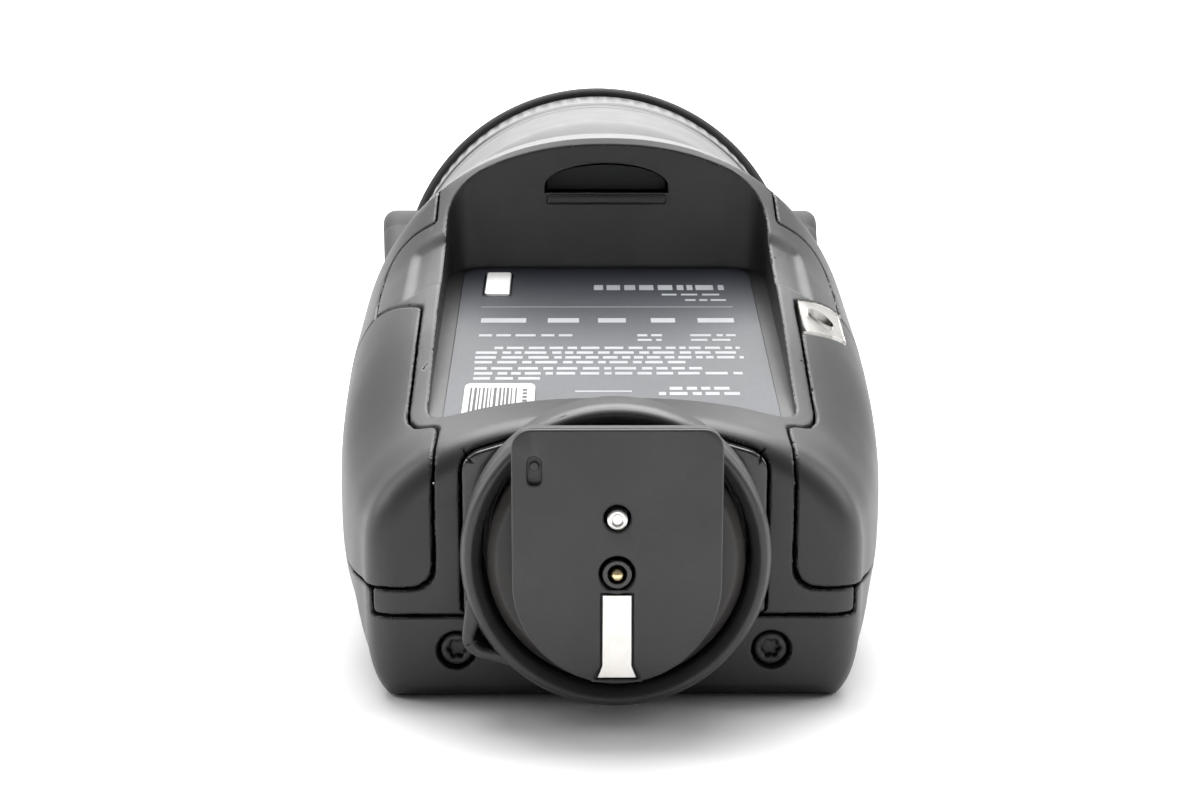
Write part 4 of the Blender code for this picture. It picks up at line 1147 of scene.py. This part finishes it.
def make_finishes():
    finish = {
        "shell": moulded("shell_black", (0.016, 0.016, 0.017), (0.023, 0.023, 0.025), 0.40, 0.20, 10),
        "soft": moulded("soft_cover_black", (0.015, 0.015, 0.016), (0.022, 0.022, 0.023), 0.43, 0.28, 8),
        "gloss": moulded("gloss_black", (0.010, 0.010, 0.011), (0.015, 0.015, 0.016), 0.24, 0.6, 2, Coat_Weight=0.3),
        "satin": moulded("satin_black", (0.027, 0.027, 0.027), (0.038, 0.037, 0.037), 0.36, 0.35, 5),
        "disc": moulded("disc_black", (0.020, 0.018, 0.017), (0.028, 0.025, 0.023), 0.42, 0.25, 6),
        "foot": moulded("foot_black", (0.022, 0.022, 0.023), (0.032, 0.032, 0.033), 0.43, 0.16, 6),
        "rubber": moulded("rubber_black", (0.014, 0.014, 0.014), (0.022, 0.022, 0.022), 0.66, 0.30, 18),
        "screw": moulded("screw_black", (0.030, 0.030, 0.032), (0.050, 0.050, 0.052), 0.38, 0.15, 4, Metallic=0.6),
        "nickel": bare_metal("nickel", (0.66, 0.63, 0.60), (0.78, 0.76, 0.73), 0.34, (1, 0.12, 1), 0.5),
        "cast": bare_metal("nickel_cast", (0.34, 0.33, 0.32), (0.46, 0.45, 0.43), 0.36, scratch_um=1),
        "bright": bare_metal("contact_bright", (0.92, 0.92, 0.91), (0.97, 0.97, 0.96), 0.5, scratch_um=0.5),
        "gold": bare_metal("contact_gold", (0.70, 0.52, 0.25), (0.88, 0.72, 0.42), 0.26),
        "mirror": bare_metal("reflector_mirror", (0.84, 0.84, 0.84), (0.92, 0.92, 0.92), 0.12, scratch_um=1),
        "copper": bare_metal("winding_copper", (0.45, 0.20, 0.08), (0.66, 0.34, 0.16), 0.38, (0.05, 0.05, 3), 30),
        "paper": moulded("sticker_white", (0.78, 0.78, 0.77), (0.88, 0.88, 0.87), 0.55, 0.12, 5),
        "ink": moulded("sticker_ink", (0.02, 0.02, 0.02), (0.05, 0.05, 0.05), 0.50, 0.12, 2),
        "marks": moulded("label_print", (0.34, 0.36, 0.38), (0.44, 0.46, 0.48), 0.45, 0.10, 2),
        "glass": moulded("display_glass", (0.004, 0.004, 0.005), (0.008, 0.008, 0.010), 0.08, 3.0, 1, Coat_Weight=0.6),
        "sleeve": moulded("capacitor_sleeve", (0.02, 0.03, 0.07), (0.04, 0.05, 0.11), 0.36, 0.8, 6),
        "board": moulded("circuit_board", (0.010, 0.070, 0.025), (0.030, 0.150, 0.060), 0.42, 0.7, 20),
        "label": label_foil(),
        "lens": clear_part("front_lens", (0.86, 0.88, 0.88), 0.22, 0.85),
        "tube": clear_part("flash_tube_glass", (0.92, 0.88, 0.78), 0.10, 0.75),
    }
    return finish


def label_foil():
    """Dark foil under a satin film, with a faint brushed grain."""
    made = Finish("label_foil", Coat_Weight=0.1, Coat_Roughness=0.3)
    grain = made.noise(0.3, 3.0, (1, 0.05, 1))
    made.colour(made.add(made.noise(14.0, 2.0), grain, 0.25), (0.010, 0.013, 0.022), (0.018, 0.023, 0.036), 0.4, 0.85)
    made.rough(grain, 0.42, 0.48)
    return made.relief(made.noise(6.0, 2.0), 4).material


def clear_part(name, tint, rough, through):
    made = Finish(name, Transmission_Weight=through, IOR=1.49)
    grain = made.noise(0.5, 2.0)
    made.colour(made.noise(6.0, 2.0), tuple(c * 0.94 for c in tint), tint)
    made.rough(grain, rough - 0.04, rough + 0.06)
    return made.relief(grain, 6).material


# Nodes whose CAD shape is shown as it is.
SHOWN_AS_BUILT = {
    "main_board": "board", "button_board": "board", "flash_capacitor": "sleeve", "charging_transformer": "copper",
    "display_panel": "gloss", "usb_port": "nickel", "turret_retainer": "nickel", "pivot_pin_left": "nickel",
    "pivot_pin_right": "nickel", "lamp_carriage": "board", "reflector": "mirror", "flash_tube": "tube",
}


def dress_nodes(finish):
    for name, look in SHOWN_AS_BUILT.items():
        data = frame["nodes"][name].data
        data.materials.clear()
        data.materials.append(finish[look])


def build_all():
    finish = make_finishes()
    dress_nodes(finish)
    build_body(finish)
    build_port(finish)
    build_bay(finish)
    build_shoe(finish)
    build_controls(finish)
    build_turret(finish)
    build_head(finish)


build_all()


# ------------------------------------------------------------------ camera and studio
def build_camera():
    data = bpy.data.cameras.new("camera")
    data.lens, data.sensor_width, data.clip_start = 48.66, 36, 0.01
    made = bpy.data.objects.new("camera", data)
    made.location = FLASH @ Vector((-3.2, -137.7, 41.1))
    made.rotation_euler = (math.radians(90 - 5.1), 0, math.radians(-0.68))
    SCENE.collection.objects.link(made)
    bpy.context.scene.camera = made


def build_sweep():
    """A sheet of white paper that curves up behind the object."""
    bend, start = 1.2, 1.2
    profile = [(-3.0, 0.0), (start, 0.0)]
    profile += [
        (start + bend * math.sin(t), bend - bend * math.cos(t)) for t in (math.pi / 2 * k / 16 for k in range(1, 17))
    ]
    profile.append((start + bend, 4.0))
    mesh = bmesh.new()
    rows = [[mesh.verts.new((x, y, z)) for x in (-4, 4)] for y, z in profile]
    for low, high in zip(rows, rows[1:]):
        mesh.faces.new((low[0], low[1], high[1], high[0]))
    data = bpy.data.meshes.new("sweep")
    mesh.to_mesh(data)
    mesh.free()
    data.shade_smooth()
    made = bpy.data.objects.new("paper_sweep", data)
    SCENE.collection.objects.link(made)
    paper = Finish("paper_white")
    paper.colour(paper.noise(300.0, 2.0), (0.90, 0.90, 0.90), (0.93, 0.93, 0.93))
    paper.shader.inputs["Roughness"].default_value = 0.9
    data.materials.append(paper.material)


def lamp(name, where, target, size, watts):
    data = bpy.data.lights.new(name, "AREA")
    data.shape = "RECTANGLE"
    data.size, data.size_y = size
    data.energy = watts
    made = bpy.data.objects.new(name, data)
    made.location = where
    made.rotation_euler = (Vector(target) - Vector(where)).to_track_quat("-Z", "Y").to_euler()
    SCENE.collection.objects.link(made)


def build_studio():
    build_sweep()
    lamp("overhead_softbox", (0, 0.28, 0.80), (0, 0.0, 0.04), (1.0, 0.7), 15.5)
    lamp("left_softbox", (-0.85, 0.15, 0.45), (0, 0, 0.03), (0.5, 0.7), 4)
    lamp("right_softbox", (0.85, 0.15, 0.45), (0, 0, 0.03), (0.5, 0.7), 4)
    lamp("backdrop_lamp", (0, 0.9, 1.6), (0, 2.2, 0.9), (2.0, 0.6), 90)
    world = bpy.data.worlds.new("studio")
    world.use_nodes = True
    background = world.node_tree.nodes["Background"]
    background.inputs["Color"].default_value = (1, 1, 1, 1)
    background.inputs["Strength"].default_value = 0.26
    SCENE.world = world
    SCENE.view_settings.view_transform = "Standard"


build_camera()
build_studio()
